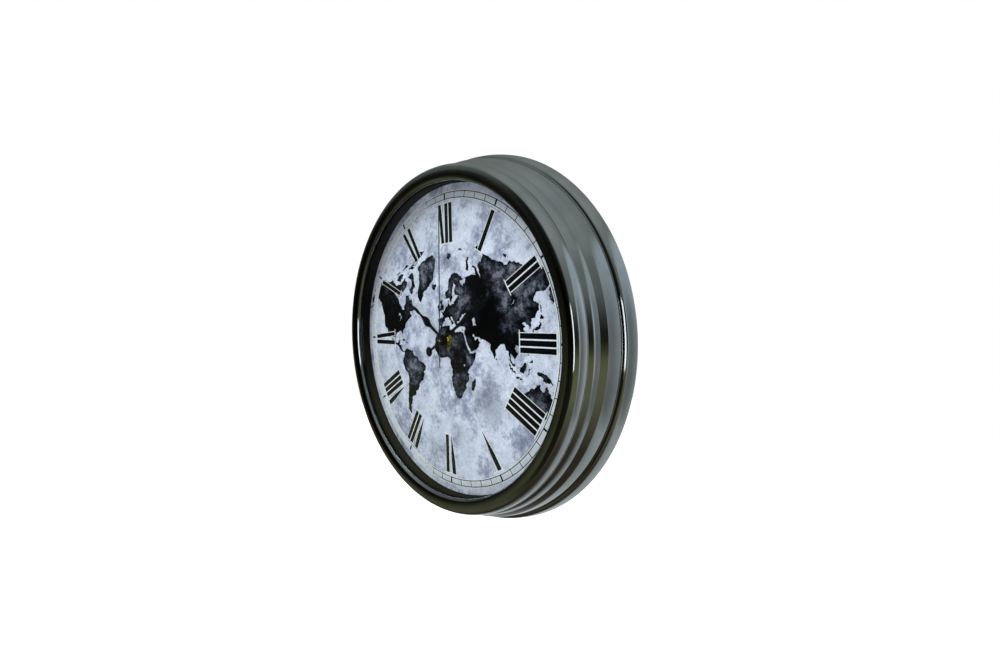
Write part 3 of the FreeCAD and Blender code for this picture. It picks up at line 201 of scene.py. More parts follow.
def softened(node: str, width: float, bend: float = 35.0) -> bpy.types.Object:
    """Copies a CAD node, merges its triangles into faces and rounds its edges.

    Args:
        node: The CAD node that the piece replaces.
        width: How far back each edge is rounded, in millimetres.
        bend: Edges that bend by more than this many degrees are rounded.

    Returns:
        The piece, which replaces the node.
    """
    shape = bmesh.new()
    shape.from_mesh(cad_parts[node].data)
    bmesh.ops.remove_doubles(shape, verts=shape.verts, dist=WELD)
    bmesh.ops.dissolve_limit(shape, angle_limit=math.radians(FLAT), verts=shape.verts,
                              edges=shape.edges)
    edges = [edge for edge in shape.edges
             if len(edge.link_faces) == 2 and edge.calc_face_angle() > math.radians(bend)]
    bmesh.ops.bevel(shape, geom=edges, offset=width * MM, segments=2, profile=0.6, affect="EDGES",
                    clamp_overlap=True, offset_type="OFFSET")
    mesh = bpy.data.meshes.new(node)
    bmesh.ops.triangulate(shape, faces=[face for face in shape.faces if len(face.verts) > 4])
    shape.to_mesh(mesh)
    shape.free()
    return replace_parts(placed(node + "_fine", mesh, 20.0), node)


def windings(faces: list, steps: dict) -> dict:
    """Counts how often the outlines run round each triangle, from the hull inwards.

    Args:
        faces: Corner numbers of each triangle.
        steps: By directed edge, how much the count of each kind of outline grows to its left.

    Returns:
        By triangle number, the count for outlines and for holes.
    """
    sides = {pair: number for number, face in enumerate(faces) for pair in zip(face, face[1:] + face[:1])}
    counts = {number: steps[pair] for pair, number in sides.items() if pair[::-1] not in sides}
    ready = list(counts)
    for number in ready:
        face = faces[number]
        for start, end in zip(face, face[1:] + face[:1]):
            other = sides.get((end, start))
            if other is not None and other not in counts:
                step = steps[end, start]
                counts[other] = [counts[number][0] + step[0], counts[number][1] + step[1]]
                ready.append(other)
    return counts


def printed(outlines: list[list[Point]], near: float, far: float,
            holes: list[list[Point]] | None = None, inner: list[Point] | None = None) -> bpy.types.Mesh:
    """Fills outlines on the dial as one thin closed sheet of ink.

    Args:
        outlines: Outlines across and up, in millimetres. Where they overlap they join.
        near: Depth of the ink's front.
        far: Depth of its back.
        holes: Outlines that stay open.
        inner: More points, which divide the sheet where they are on it.

    Returns:
        The closed mesh, in metres.
    """
    spots, edges, owners = [], [], []
    for number, outline in enumerate(outlines + (holes or [])):
        ring = list(range(len(spots), len(spots) + len(outline)))
        area = sum(first[0] * second[1] - second[0] * first[1]
                   for first, second in zip(outline, outline[1:] + outline[:1]))
        if area < 0:
            ring.reverse()
        edges += list(zip(ring, ring[1:] + ring[:1]))
        owners += [int(number >= len(outlines))] * len(outline)
        spots += [Vector(spot) for spot in outline]
    spots += [Vector(spot) for spot in inner or []]
    found, lines, faces, _, sources, _ = delaunay_2d_cdt(spots, edges, [], 0, 1e-5)
    steps = {}
    for (start, end), origins in zip(lines, sources):
        net = [0, 0]
        for at in origins:
            way = (spots[edges[at][1]] - spots[edges[at][0]]).dot(found[end] - found[start])
            net[owners[at]] += 1 if way > 0 else -1
        steps[start, end], steps[end, start] = net, [-net[0], -net[1]]
    kept = [faces[number] for number, count in windings(faces, steps).items() if count[0] and not count[1]]
    shape = bmesh.new()
    front = [shape.verts.new((spot.x * MM, near * MM, spot.y * MM)) for spot in found]
    back = [shape.verts.new((spot.x * MM, far * MM, spot.y * MM)) for spot in found]
    borders: dict = {}
    for face in kept:
        shape.faces.new([front[at] for at in face])
        shape.faces.new([back[at] for at in reversed(face)])
        for pair in zip(face, face[1:] + face[:1]):
            borders[pair] = True
    for first, second in borders:
        if (second, first) not in borders:
            shape.faces.new((front[second], front[first], back[first], back[second]))
    bmesh.ops.delete(shape, geom=[vert for vert in shape.verts if not vert.link_faces], context="VERTS")
    return welded(shape)


def wander(across: float, up: float, seed: float) -> Vector:
    """Gives a smooth random step for a place, the same in every run.

    Args:
        across: Place across, in the noise's own unit.
        up: Place up, in the noise's own unit.
        seed: Where in the noise the steps are taken.

    Returns:
        Three numbers from minus one to one.
    """
    return Vector([noise.noise(Vector((across, up, seed + 17.3 * axis))) for axis in range(3)])


def joined(meshes: list[bpy.types.Mesh]) -> bpy.types.Mesh:
    """Puts several meshes in one.

    Args:
        meshes: The meshes, in place.

    Returns:
        One mesh.
    """
    shape = bmesh.new()
    for mesh in meshes:
        shape.from_mesh(mesh)
    whole = bpy.data.meshes.new("mesh")
    shape.to_mesh(whole)
    shape.free()
    return whole


# Finishes

@dataclass(frozen=True)
class Finish:
    """A surface finish, made once as a node material."""

    label: str

    def material(self) -> bpy.types.Material:
        """Makes the material, or finds the one made before.

        Returns:
            The material.
        """
        found = bpy.data.materials.get(self.label)
        if found:
            return found
        made = bpy.data.materials.new(self.label)
        made.use_nodes = True
        made.node_tree.nodes.clear()
        shader = self.shader(made.node_tree)
        add(made.node_tree, "ShaderNodeOutputMaterial", links={"Surface": shader})
        return made

    def shader(self, tree: bpy.types.NodeTree) -> bpy.types.NodeSocket:
        """Adds the finish's nodes.

        Args:
            tree: The material's tree.

        Returns:
            The finish's shader.
        """
        raise NotImplementedError

    def cloud(self, tree: bpy.types.NodeTree, spacing: float, stops: list, stretch: tuple = (1, 1, 1),
              rough: float = 0.5) -> bpy.types.NodeSocket:
        """Adds a mottled pattern in the object's own place.

        Args:
            tree: The material's tree.
            spacing: Size of the pattern in millimetres.
            stops: Places and colours, or grey values, of the ramp.
            stretch: How many times longer the pattern runs along each axis.
            rough: Share of fine detail.

        Returns:
            The ramp's colour.
        """
        place = add(tree, "ShaderNodeTexCoord").outputs["Object"]
        scaled = add(tree, "ShaderNodeMapping",
                     {"vector_type": "POINT", "Scale": tuple(1 / part for part in stretch)},
                     {"Vector": place})
        pattern = add(tree, "ShaderNodeTexNoise",
                      {"Scale": 1 / (spacing * MM), "Detail": 5.0, "Roughness": rough},
                      {"Vector": scaled.outputs[0]})
        return add(tree, "ShaderNodeValToRGB", {"stops": stops}, {"Fac": pattern.outputs["Fac"]}).outputs[0]


@dataclass(frozen=True)
class Plating(Finish):
    """Polished plating: a mirror that is a little uneven, so that highlights waver and dust dulls it."""

    tint: str
    shade: str
    roughness: float
    peel: float = 9.0

    def shader(self, tree: bpy.types.NodeTree) -> bpy.types.NodeSocket:
        """Wires a dark metal with soft orange peel and a veil of fine dust.

        Args:
            tree: The material's tree.

        Returns:
            The finish's shader.
        """
        tint = self.cloud(tree, 46.0, [(0.35, self.shade), (0.65, self.tint)])
        low, high = self.roughness * 0.75, self.roughness * 1.35
        rough = self.cloud(tree, 14.0, [(0.3, low), (0.75, high)], rough=0.7)
        peel = self.cloud(tree, self.peel, [(0.0, 0.0), (1.0, 1.0)], rough=0.3)
        bump = add(tree, "ShaderNodeBump", {"Strength": 0.008, "Distance": 0.2 * MM}, {"Height": peel})
        return add(tree, "ShaderNodeBsdfPrincipled", {"Metallic": 1.0},
                   {"Base Color": tint, "Roughness": rough, "Normal": bump.outputs[0]}).outputs[0]


@dataclass(frozen=True)
class Moulded(Finish):
    """Moulded plastic or rubber: even colour, a fine spark-eroded grain and a soft sheen."""

    tint: str
    shade: str
    roughness: float

    # The real grain is finer. It is drawn at this size in millimetres so that it shows.
    grain: float = 0.6
    depth: float = 0.05
    index: float = 1.5
    shine: float = 0.5

    def shader(self, tree: bpy.types.NodeTree) -> bpy.types.NodeSocket:
        """Wires the plastic with its grain.

        Args:
            tree: The material's tree.

        Returns:
            The finish's shader.
        """
        tint = self.cloud(tree, 18.0, [(0.3, self.shade), (0.7, self.tint)])
        rough = self.cloud(tree, 7.0, [(0.3, self.roughness * 0.88), (0.7, self.roughness * 1.1)])
        grain = self.cloud(tree, self.grain, [(0.0, 0.0), (1.0, 1.0)], rough=0.6)
        bump = add(tree, "ShaderNodeBump", {"Strength": 0.35, "Distance": self.depth * MM}, {"Height": grain})
        return add(tree, "ShaderNodeBsdfPrincipled",
                   {"IOR": self.index, "Specular IOR Level": self.shine},
                   {"Base Color": tint, "Roughness": rough, "Normal": bump.outputs[0]}).outputs[0]


@dataclass(frozen=True)
class Metal(Finish):
    """Turned or rolled metal: a clear colour with tool marks that stretch the highlights."""

    tint: str
    shade: str
    roughness: float

    # The real marks are finer. They are drawn at this size in millimetres so that they show.
    marks: float = 0.35
    stretch: tuple = (14.0, 1.0, 1.0)

    def shader(self, tree: bpy.types.NodeTree) -> bpy.types.NodeSocket:
        """Wires the metal with its marks.

        Args:
            tree: The material's tree.

        Returns:
            The finish's shader.
        """
        tint = self.cloud(tree, 5.0, [(0.35, self.shade), (0.7, self.tint)])
        marks = self.cloud(tree, self.marks, [(0.0, 0.0), (1.0, 1.0)], self.stretch)
        rough = self.cloud(tree, self.marks * 3, [(0.3, self.roughness * 0.8), (0.7, self.roughness * 1.25)],
                           self.stretch)
        bump = add(tree, "ShaderNodeBump", {"Strength": 0.2, "Distance": 0.03 * MM}, {"Height": marks})
        return add(tree, "ShaderNodeBsdfPrincipled", {"Metallic": 1.0},
                   {"Base Color": tint, "Roughness": rough, "Normal": bump.outputs[0]}).outputs[0]


@dataclass(frozen=True)
class ClearGlass(Finish):
    """Float glass: clear, polished, with a faint green edge. Lamps shine straight through it."""

    def shader(self, tree: bpy.types.NodeTree) -> bpy.types.NodeSocket:
        """Wires the glass, which lets shadow rays pass.

        Args:
            tree: The material's tree.

        Returns:
            The finish's shader.
        """
        glass = add(tree, "ShaderNodeBsdfPrincipled",
                    {"Base Color": linear("FBFEFC"), "Roughness": 0.0, "IOR": 1.52,
                     "Transmission Weight": 1.0})
        clear = add(tree, "ShaderNodeBsdfTransparent", {"Color": linear("F6FAF8")})
        rays = add(tree, "ShaderNodeLightPath")
        return add(tree, "ShaderNodeMixShader",
                   links={0: rays.outputs["Is Shadow Ray"], 1: glass.outputs[0],
                          2: clear.outputs[0]}).outputs[0]


@dataclass(frozen=True)
class DialPaper(Finish):
    """Coated matt paper, printed as a pale, cloudy blue-grey ground with smudges and upright streaks."""

    # The darker clouds: millimetres across and up, radius in millimetres, and depth
    clouds: tuple = ((60.0, -62.0, 27.0, 0.62), (35.0, -50.0, 13.0, 0.3), (-80.0, 132.0, 34.0, 0.4),
                     (0.0, 86.0, 12.0, 0.45), (-27.0, -122.0, 26.0, 0.42), (14.0, -98.0, 18.0, 0.3),
                     (-140.0, -35.0, 26.0, 0.35), (-106.0, -112.0, 24.0, 0.3))

    def clouded(self, tree: bpy.types.NodeTree, base: bpy.types.NodeSocket) -> bpy.types.NodeSocket:
        """Darkens the ground in the clouds, with ragged borders.

        Args:
            tree: The material's tree.
            base: The ground's colour.

        Returns:
            The clouded colour.
        """
        place = add(tree, "ShaderNodeTexCoord").outputs["Object"]
        ragged = self.cloud(tree, 15.0, [(0.25, 0.55), (0.75, 1.6)], rough=0.8)
        total = None
        for across, up, radius, depth in self.clouds:
            way = add(tree, "ShaderNodeVectorMath",
                      {"operation": "DISTANCE", 1: (across * MM, DIAL * MM, up * MM)}, {0: place})
            wide = add(tree, "ShaderNodeMath", {"operation": "MULTIPLY"},
                       {0: way.outputs["Value"], 1: ragged})
            share = add(tree, "ShaderNodeMapRange",
                        {"interpolation_type": "SMOOTHSTEP", "From Min": 0.1 * radius * MM,
                         "From Max": 1.15 * radius * MM, "To Min": depth, "To Max": 0.0},
                        {"Value": wide.outputs[0]}).outputs[0]
            total = share if total is None else add(tree, "ShaderNodeMath", {"operation": "MAXIMUM"},
                                                    {0: total, 1: share}).outputs[0]
        grain = self.cloud(tree, 3.4, [(0.3, 0.55), (0.7, 1.25)], rough=0.8)
        amount = add(tree, "ShaderNodeMath", {"operation": "MULTIPLY", "use_clamp": True},
                     {0: total, 1: grain})
        return add(tree, "ShaderNodeMix", {"data_type": "RGBA", 7: linear("5C5F74")},
                   {0: amount.outputs[0], 6: base}).outputs[2]

    def shader(self, tree: bpy.types.NodeTree) -> bpy.types.NodeSocket:
        """Wires the ground, its streaks and its smudges.

        Args:
            tree: The material's tree.

        Returns:
            The finish's shader.
        """
        ground = self.cloud(tree, 16.0, [(0.32, "BEC3D7"), (0.5, "D2D7EB"), (0.68, "E8EDFF")], rough=0.78)
        streaks = self.cloud(tree, 1.8, [(0.34, "D6D9E2"), (0.56, "FFFFFF")], (1.0, 1.0, 1.7), 0.8)
        smudges = self.cloud(tree, 64.0, [(0.34, "9093A8"), (0.42, "C6C8D6"), (0.5, "FFFFFF")], rough=0.85)
        first = add(tree, "ShaderNodeMix", {"data_type": "RGBA", "blend_type": "MULTIPLY", 0: 1.0},
                    {6: ground, 7: streaks})
        second = add(tree, "ShaderNodeMix", {"data_type": "RGBA", "blend_type": "MULTIPLY", 0: 0.8},
                     {6: first.outputs[2], 7: smudges})
        # The paper's real fibres are finer than this tooth, which is drawn so that it shows
        tooth = self.cloud(tree, 0.5, [(0.0, 0.0), (1.0, 1.0)])
        bump = add(tree, "ShaderNodeBump", {"Strength": 0.2, "Distance": 0.02 * MM}, {"Height": tooth})
        return add(tree, "ShaderNodeBsdfPrincipled",
                   {"Roughness": 0.62, "IOR": 1.48, "Specular IOR Level": 0.3},
                   {"Base Color": self.clouded(tree, second.outputs[2]),
                    "Normal": bump.outputs[0]}).outputs[0]


@dataclass(frozen=True)
class InkWash(Finish):
    """Diluted black ink on paper: black where it pooled and along its edges, and grey and mottled between."""

    def shader(self, tree: bpy.types.NodeTree) -> bpy.types.NodeSocket:
        """Wires the wash from the ink on each spot, blots and a fine dry-brush grain.

        Args:
            tree: The material's tree.

        Returns:
            The finish's shader.
        """
        ink = add(tree, "ShaderNodeAttribute", {"attribute_name": "ink"}).outputs["Fac"]
        blots = self.cloud(tree, 13.0, [(0.3, 0.0), (0.7, 1.0)], rough=0.8)
        share = add(tree, "ShaderNodeMath", {"operation": "MULTIPLY_ADD", 1: 1.1, 2: -0.55}, {0: blots})
        depth = add(tree, "ShaderNodeMath", {"operation": "ADD", "use_clamp": True},
                    {0: ink, 1: share.outputs[0]})
        tone = add(tree, "ShaderNodeValToRGB",
                   {"stops": [(0.05, "7C8190"), (0.28, "484C5A"), (0.48, "242732"), (0.64, "0D0F15"),
                              (0.85, "030408")]}, {"Fac": depth.outputs[0]})
        dry = self.cloud(tree, 1.4, [(0.36, "77777F"), (0.6, "FFFFFF")], rough=0.75)
        grained = add(tree, "ShaderNodeMix", {"data_type": "RGBA", "blend_type": "MULTIPLY", 0: 0.7},
                      {6: tone.outputs[0], 7: dry})
        return add(tree, "ShaderNodeBsdfPrincipled",
                   {"Roughness": 0.6, "IOR": 1.48, "Specular IOR Level": 0.03},
                   {"Base Color": grained.outputs[2]}).outputs[0]


@dataclass(frozen=True)
class PressInk(Finish):
    """Printing ink: a flat film with a slight mottle where it took unevenly."""

    tint: str
    shade: str

    def shader(self, tree: bpy.types.NodeTree) -> bpy.types.NodeSocket:
        """Wires the ink film.

        Args:
            tree: The material's tree.

        Returns:
            The finish's shader.
        """
        tint = self.cloud(tree, 4.0, [(0.35, self.shade), (0.7, self.tint)], rough=0.7)
        return add(tree, "ShaderNodeBsdfPrincipled",
                   {"Roughness": 0.6, "IOR": 1.48, "Specular IOR Level": 0.03},
                   {"Base Color": tint}).outputs[0]


@dataclass(frozen=True)
class WornInk(Finish):
    """Dark line ink of a distressed print: it wears through to the white under it towards nine o'clock."""

    def shader(self, tree: bpy.types.NodeTree) -> bpy.types.NodeSocket:
        """Wires dark ink that breaks up to white on the dial's left.

        Args:
            tree: The material's tree.

        Returns:
            The finish's shader.
        """
        place = add(tree, "ShaderNodeTexCoord").outputs["Object"]
        across = add(tree, "ShaderNodeSeparateXYZ", links={0: place}).outputs[0]
        worn = add(tree, "ShaderNodeMapRange", {"From Min": 20.0 * MM, "From Max": -80.0 * MM,
                                                "To Min": -0.28, "To Max": 0.22}, {"Value": across})
        flakes = self.cloud(tree, 7.0, [(0.0, 0.0), (1.0, 1.0)], rough=0.8)
        sum_up = add(tree, "ShaderNodeMath", {"operation": "ADD"}, {0: worn.outputs[0], 1: flakes})
        tint = add(tree, "ShaderNodeValToRGB", {"stops": [(0.46, "11141C"), (0.56, "D9DCE6")]},
                   {"Fac": sum_up.outputs[0]})
        return add(tree, "ShaderNodeBsdfPrincipled",
                   {"Roughness": 0.55, "IOR": 1.48, "Specular IOR Level": 0.2},
                   {"Base Color": tint.outputs[0]}).outputs[0]


@dataclass(frozen=True)
class Banded(Finish):
    """A printed sleeve in two plain colours, with a gloss film over it."""

    tint: str
    end_tint: str
    border: float

    def shader(self, tree: bpy.types.NodeTree) -> bpy.types.NodeSocket:
        """Wires the two bands, split across the object's X.

        Args:
            tree: The material's tree.

        Returns:
            The finish's shader.
        """
        place = add(tree, "ShaderNodeTexCoord").outputs["Object"]
        across = add(tree, "ShaderNodeSeparateXYZ", links={0: place}).outputs[0]
        past = add(tree, "ShaderNodeMath", {"operation": "GREATER_THAN", 1: self.border * MM}, {0: across})
        wear = self.cloud(tree, 6.0, [(0.3, 0.24), (0.7, 0.36)])
        tint = add(tree, "ShaderNodeMix",
                   {"data_type": "RGBA", 6: linear(self.tint), 7: linear(self.end_tint)},
                   {0: past.outputs[0]})
        return add(tree, "ShaderNodeBsdfPrincipled", {"IOR": 1.5, "Coat Weight": 0.4},
                   {"Base Color": tint.outputs[2], "Roughness": wear}).outputs[0]


class Look(Enum):
    """The finishes of the clock, each named for what the real one is."""

    # A dark mirror: the room stands in it, and its highlights waver a little
    BLACK_NICKEL = Plating("black nickel plating", "A2A9AC", "8E9598", 0.09)
    # Nearly black and dull, so that the dial seems to lie in shade
    DARK_RING = Moulded("matt black styrene lining", "04090F", "02050A", 0.75, 3.0, 0.01, 1.4, 0.0)
    # Hardly seen, but for a weak reflection at a slant
    GLASS = ClearGlass("float glass")
    # A thin dull black line
    GASKET = Moulded("neoprene gasket", "141414", "0D0D0D", 0.75)
    # A pale blue-grey ground, cloudy and matt
    PAPER = DialPaper("printed dial paper")
    # Grey to black, mottled, darkest along the coasts
    WASH = InkWash("ink wash")
    # Deep black bars with hardly any shine
    INK = PressInk("black printing ink", "080C14", "03060B")
    # A clean white line that sets the black off
    PALE_INK = PressInk("white printing ink", "EDEFF2", "D9DCE4")
    # A dark line that breaks up to white on the left
    LINE_INK = WornInk("worn line ink")
    # A plain pale band, calmer than the paper round it
    TRACK_GROUND = PressInk("pale track ground", "D6DCE8", "C3C9D8")
    # Warm brown with a slight fibrous mottle
    HARDBOARD = Moulded("tempered hardboard", "7A5234", "5E3C25", 0.6, 0.9, 0.12)
    # Flat dark grey with a fine grain
    COVER = Moulded("moulded black polypropylene", "26272A", "1D1E20", 0.48, 0.8, 0.06)
    # Dark grey, a little shinier than the cover
    HOUSING = Moulded("moulded black acetal", "232427", "1A1B1D", 0.42, 0.6, 0.04)
    # Ivory, smooth, with a soft sheen
    PALE_RESIN = Moulded("natural acetal", "E6E1D4", "D8D2C2", 0.38, 0.8, 0.02)
    # Bright warm white
    WHITE_KNOB = Moulded("white polystyrene", "E9E8E3", "DAD9D2", 0.4, 0.8, 0.02)
    # Dull black with no highlight
    PAD = Moulded("black rubber", "1C1C1C", "131313", 0.8, 0.5, 0.08)
    # Pale yellow with a sharp warm highlight
    BRASS = Metal("turned brass", "F0E8AE", "DDD194", 0.17)
    # Cool light grey that glints
    ZINC = Metal("bright zinc plating", "C6C9CC", "AEB3B8", 0.3)
    # Warm light grey that glints
    SPRING = Metal("nickel-plated spring steel", "CFCBC2", "B9B5AC", 0.25)
    # Plain mid grey with a broad highlight
    IRON = Metal("stamped soft iron", "9EA0A3", "86888C", 0.4)
    # Dark grey and grainy
    MAGNET = Moulded("sintered magnet", "3D3E42", "2E2F33", 0.5, 0.4, 0.05)
    # Orange-brown, with the highlight drawn along the turns
    COPPER = Metal("enamelled copper wire", "C8653A", "A64D28", 0.3, 0.3, (1.0, 14.0, 14.0))
    # Clear green with a gloss
    BOARD = Moulded("green solder mask", "1F6B3A", "17552E", 0.3, 2.0, 0.02)
    # A glossy black drop
    POTTING = Moulded("black epoxy", "101012", "0A0A0B", 0.18, 2.0, 0.02)
    # Dark blue with a copper-coloured end, under a gloss
    SLEEVE = Banded("battery sleeve", "1B2A44", "B07A45", 9.0)
    # Black flat shapes with a faint sheen
    SATIN_BLACK = Moulded("satin black lacquer", "07080C", "040507", 0.4, 0.5, 0.01, 1.5, 0.12)
    # Dark grey, so that the thin hand stands off the black ones
    SATIN_GREY = Moulded("satin grey lacquer", "24282C", "191C1F", 0.5, 0.5, 0.01, 1.5, 0.25)

    def paint(self, piece: bpy.types.Object) -> bpy.types.Object:
        """Puts the finish on a piece.

        Args:
            piece: The piece or CAD node.

        Returns:
            The piece.
        """
        made = self.value.material()
        if not piece.material_slots:
            piece.data.materials.append(made)
        for holder in piece.material_slots:
            holder.material = made
        return piece


def fit(piece: bpy.types.Object, look: Look, body: str, nodes: tuple = ()) -> bpy.types.Object:
    """Finishes a piece, and sets it on its body.

    Args:
        piece: The piece, in place.
        look: Its finish.
        body: The CAD body that it rides on.
        nodes: CAD nodes that it replaces.

    Returns:
        The piece.
    """
    look.paint(piece)
    if nodes:
        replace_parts(piece, *nodes)
    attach(piece, body)
    LOG.info("%s: %d faces, rides on %s", piece.name, len(piece.data.polygons), body)
    return piece


@dataclass
class Ring:
    """Copies of one shape, set round the clock's axis by Geometry Nodes."""

    count: int
    first_turn: float = 0.0

    def tree(self) -> bpy.types.NodeTree:
        """Builds the tree: points, one copy on each, turned about the axis.

        Returns:
            The node group.
        """
        found = bpy.data.node_groups.get("ring of copies")
        if found:
            return found
        group = bpy.data.node_groups.new("ring of copies", "GeometryNodeTree")
        for name, kind, way in (("Shape", "NodeSocketGeometry", "INPUT"), ("Count", "NodeSocketInt", "INPUT"),
                                ("First turn", "NodeSocketFloat", "INPUT"),
                                ("Finish", "NodeSocketMaterial", "INPUT"),
                                ("Shape", "NodeSocketGeometry", "OUTPUT")):
            group.interface.new_socket(name, in_out=way, socket_type=kind)
        given = add(group, "NodeGroupInput")
        points = add(group, "GeometryNodePoints", links={"Count": given.outputs["Count"]})
        number = add(group, "GeometryNodeInputIndex")
        step = add(group, "ShaderNodeMath", {"operation": "DIVIDE", 0: math.tau},
                   {1: given.outputs["Count"]})
        turn = add(group, "ShaderNodeMath", {"operation": "MULTIPLY_ADD"},
                   {0: number.outputs[0], 1: step.outputs[0], 2: given.outputs["First turn"]})
        about = add(group, "ShaderNodeCombineXYZ", links={1: turn.outputs[0]})
        copies = add(group, "GeometryNodeInstanceOnPoints",
                     links={"Points": points.outputs[0], "Instance": given.outputs["Shape"],
                            "Rotation": about.outputs[0]})
        real = add(group, "GeometryNodeRealizeInstances", links={0: copies.outputs[0]})
        painted = add(group, "GeometryNodeSetMaterial",
                      links={"Geometry": real.outputs[0], "Material": given.outputs["Finish"]})
        add(group, "NodeGroupOutput", links={0: painted.outputs[0]})
        return group

    def of(self, name: str, shape: bpy.types.Mesh, look: Look) -> bpy.types.Object:
        """Sets copies of a shape round the axis as one plain mesh.

        Args:
            name: The piece's name.
            shape: The shape at twelve o'clock, in metres.
            look: Its finish.

        Returns:
            The piece.
        """
        group = self.tree()
        piece = placed(name, shape)
        modifier = piece.modifiers.new("ring", "NODES")
        modifier.node_group = group
        keys = {item.name: item.identifier for item in group.interface.items_tree if item.in_out == "INPUT"}
        modifier[keys["Count"]] = self.count
        modifier[keys["First turn"]] = self.first_turn
        modifier[keys["Finish"]] = look.value.material()
        sight = bpy.context.evaluated_depsgraph_get()
        plain = bpy.data.meshes.new_from_object(piece.evaluated_get(sight), depsgraph=sight)
        piece.modifiers.clear()
        piece.data = plain
        plain.set_sharp_from_angle(angle=math.radians(30.0))
        return piece


# The case

@dataclass
class SteppedCase:
    """The plated case: rounded rings that step inwards from the flange to the crest round the glass."""

    # Corners of the outside: radius, depth, and how far the stretch to the next corner swells
    outside: tuple = (
        (163.5, -60.0, 0.0), (163.5, -60.7, 0.0), (165.2, -63.1, 0.12), (172.6, -64.75, 0.25),
        (176.1, -64.3, 0.1), (177.9, -63.0, 0.12), (179.9, -59.4, 0.1), (181.0, -51.2, 0.45),
        (180.8, -49.4, 0.05), (183.0, -46.7, 0.0), (185.3, -39.9, 0.35), (185.5, -39.2, 0.0),
        (186.6, -37.9, 0.0), (189.7, -33.6, 0.0), (193.2, -18.4, 0.4), (194.9, -17.95, 0.0),
        (196.4, -16.95, 0.03), (197.1, -15.9, 0.05), (200.0, -4.5, 0.4), (198.0, -2.5, 0.0),
        (196.975, -2.5, 0.0),
    )
    inside: tuple = (
        (196.975, -14.2), (190.9, -14.2), (186.5, -34.0), (174.5, -58.05), (170.5, -58.05),
        (170.5, -39.6), (168.3, -39.6), (168.3, -60.0),
    )
    round_reach: float = 0.3
    spacing: float = 0.15
    steps: int = 320

    # Where the outline keeps a point: after bending this many degrees, or after this many millimetres
    kept_bend: float = 5.0
    kept_run: float = 2.4
    boss_radius: float = 3.8
    boss_circle: float = 192.375
    boss_front: float = -15.2
    boss_rear: float = -5.0
    pilot_radius: float = 1.47
    pilot_front: float = -11.5

    def drawn(self) -> list[Point]:
        """Samples the outside's lines and bows closely.

        Returns:
            Points along the outside, about evenly spaced.
        """
        spots: list[Point] = []
        for start, end in zip(self.outside, self.outside[1:]):
            run = (end[0] - start[0], end[1] - start[1])
            length = math.hypot(*run)
            count = max(2, round(length / self.spacing))
            for step in range(count):
                share = step / count
                lift = 4 * end[2] * share * (1 - share)
                spots.append((start[0] + run[0] * share + run[1] / length * lift,
                              start[1] + run[1] * share - run[0] / length * lift))
        return spots + [self.outside[-1][:2]]

    def rounded(self) -> list[Point]:
        """Rounds the outside's corners, and keeps the points where it bends.

        Returns:
            The outside's rounded half section.
        """
        spots = self.drawn()
        reach = round(self.round_reach / self.spacing)
        weights = {at: math.exp(-0.5 * (at / reach) ** 2) for at in range(-3 * reach, 3 * reach + 1)}
        soft = []
        for here in range(len(spots)):
            span = min(3 * reach, here, len(spots) - 1 - here)
            near = range(-span, span + 1)
            total = sum(weights[at] for at in near)
            soft.append(tuple(sum(weights[at] * spots[here + at][axis] for at in near) / total
                              for axis in (0, 1)))
        kept, bend = [soft[0]], 0.0
        for before, here, after in zip(soft, soft[1:], soft[2:]):
            first = math.atan2(here[1] - before[1], here[0] - before[0])
            second = math.atan2(after[1] - here[1], after[0] - here[0])
            bend += abs(math.remainder(second - first, math.tau))
            if bend > math.radians(self.kept_bend) or math.dist(here, kept[-1]) > self.kept_run:
                kept.append(here)
                bend = 0.0
        return kept + [soft[-1]]

    def build(self) -> None:
        """Makes the shell and the screw bosses inside it."""
        shell = lathe(self.rounded() + [tuple(spot) for spot in self.inside], self.steps)
        fit(placed("case", shell), Look.BLACK_NICKEL, "case", ("case_shell",))
        boss = lathe([(0.0, self.boss_front), (self.boss_radius, self.boss_front),
                      (self.boss_radius, self.boss_rear), (self.pilot_radius, self.boss_rear),
                      (self.pilot_radius, self.pilot_front), (0.0, self.pilot_front)], 32, closed=False)
        boss.transform(Matrix.Translation((0, 0, self.boss_circle * MM)))
        bosses = Ring(6, math.pi / 6).of("case_screw_bosses", boss, Look.BLACK_NICKEL)
        fit(bosses, Look.BLACK_NICKEL, "case")


@dataclass
class Window:
    """The glass, its gasket and the dark ring behind it."""

    glass_radius: float = 168.0
    bore: float = 164.6
    draft: float = 0.6
    glass_rear: float = -56.2
    edge: float = 0.4

    def build(self) -> None:
        """Makes the ring smooth, and finishes the glass and the gasket."""
        front = self.bore - self.draft
        section = [(front + self.edge, self.glass_rear), (self.glass_radius, self.glass_rear),
                   (self.glass_radius, DIAL), (self.bore, DIAL),
                   (front, self.glass_rear + self.edge)]
        fit(placed("dark_ring", lathe(section, 300)), Look.DARK_RING, "case", ("inner_ring",))
        Look.GLASS.paint(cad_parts["glass_lens"])
        Look.GASKET.paint(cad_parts["glass_gasket"])


# The dial

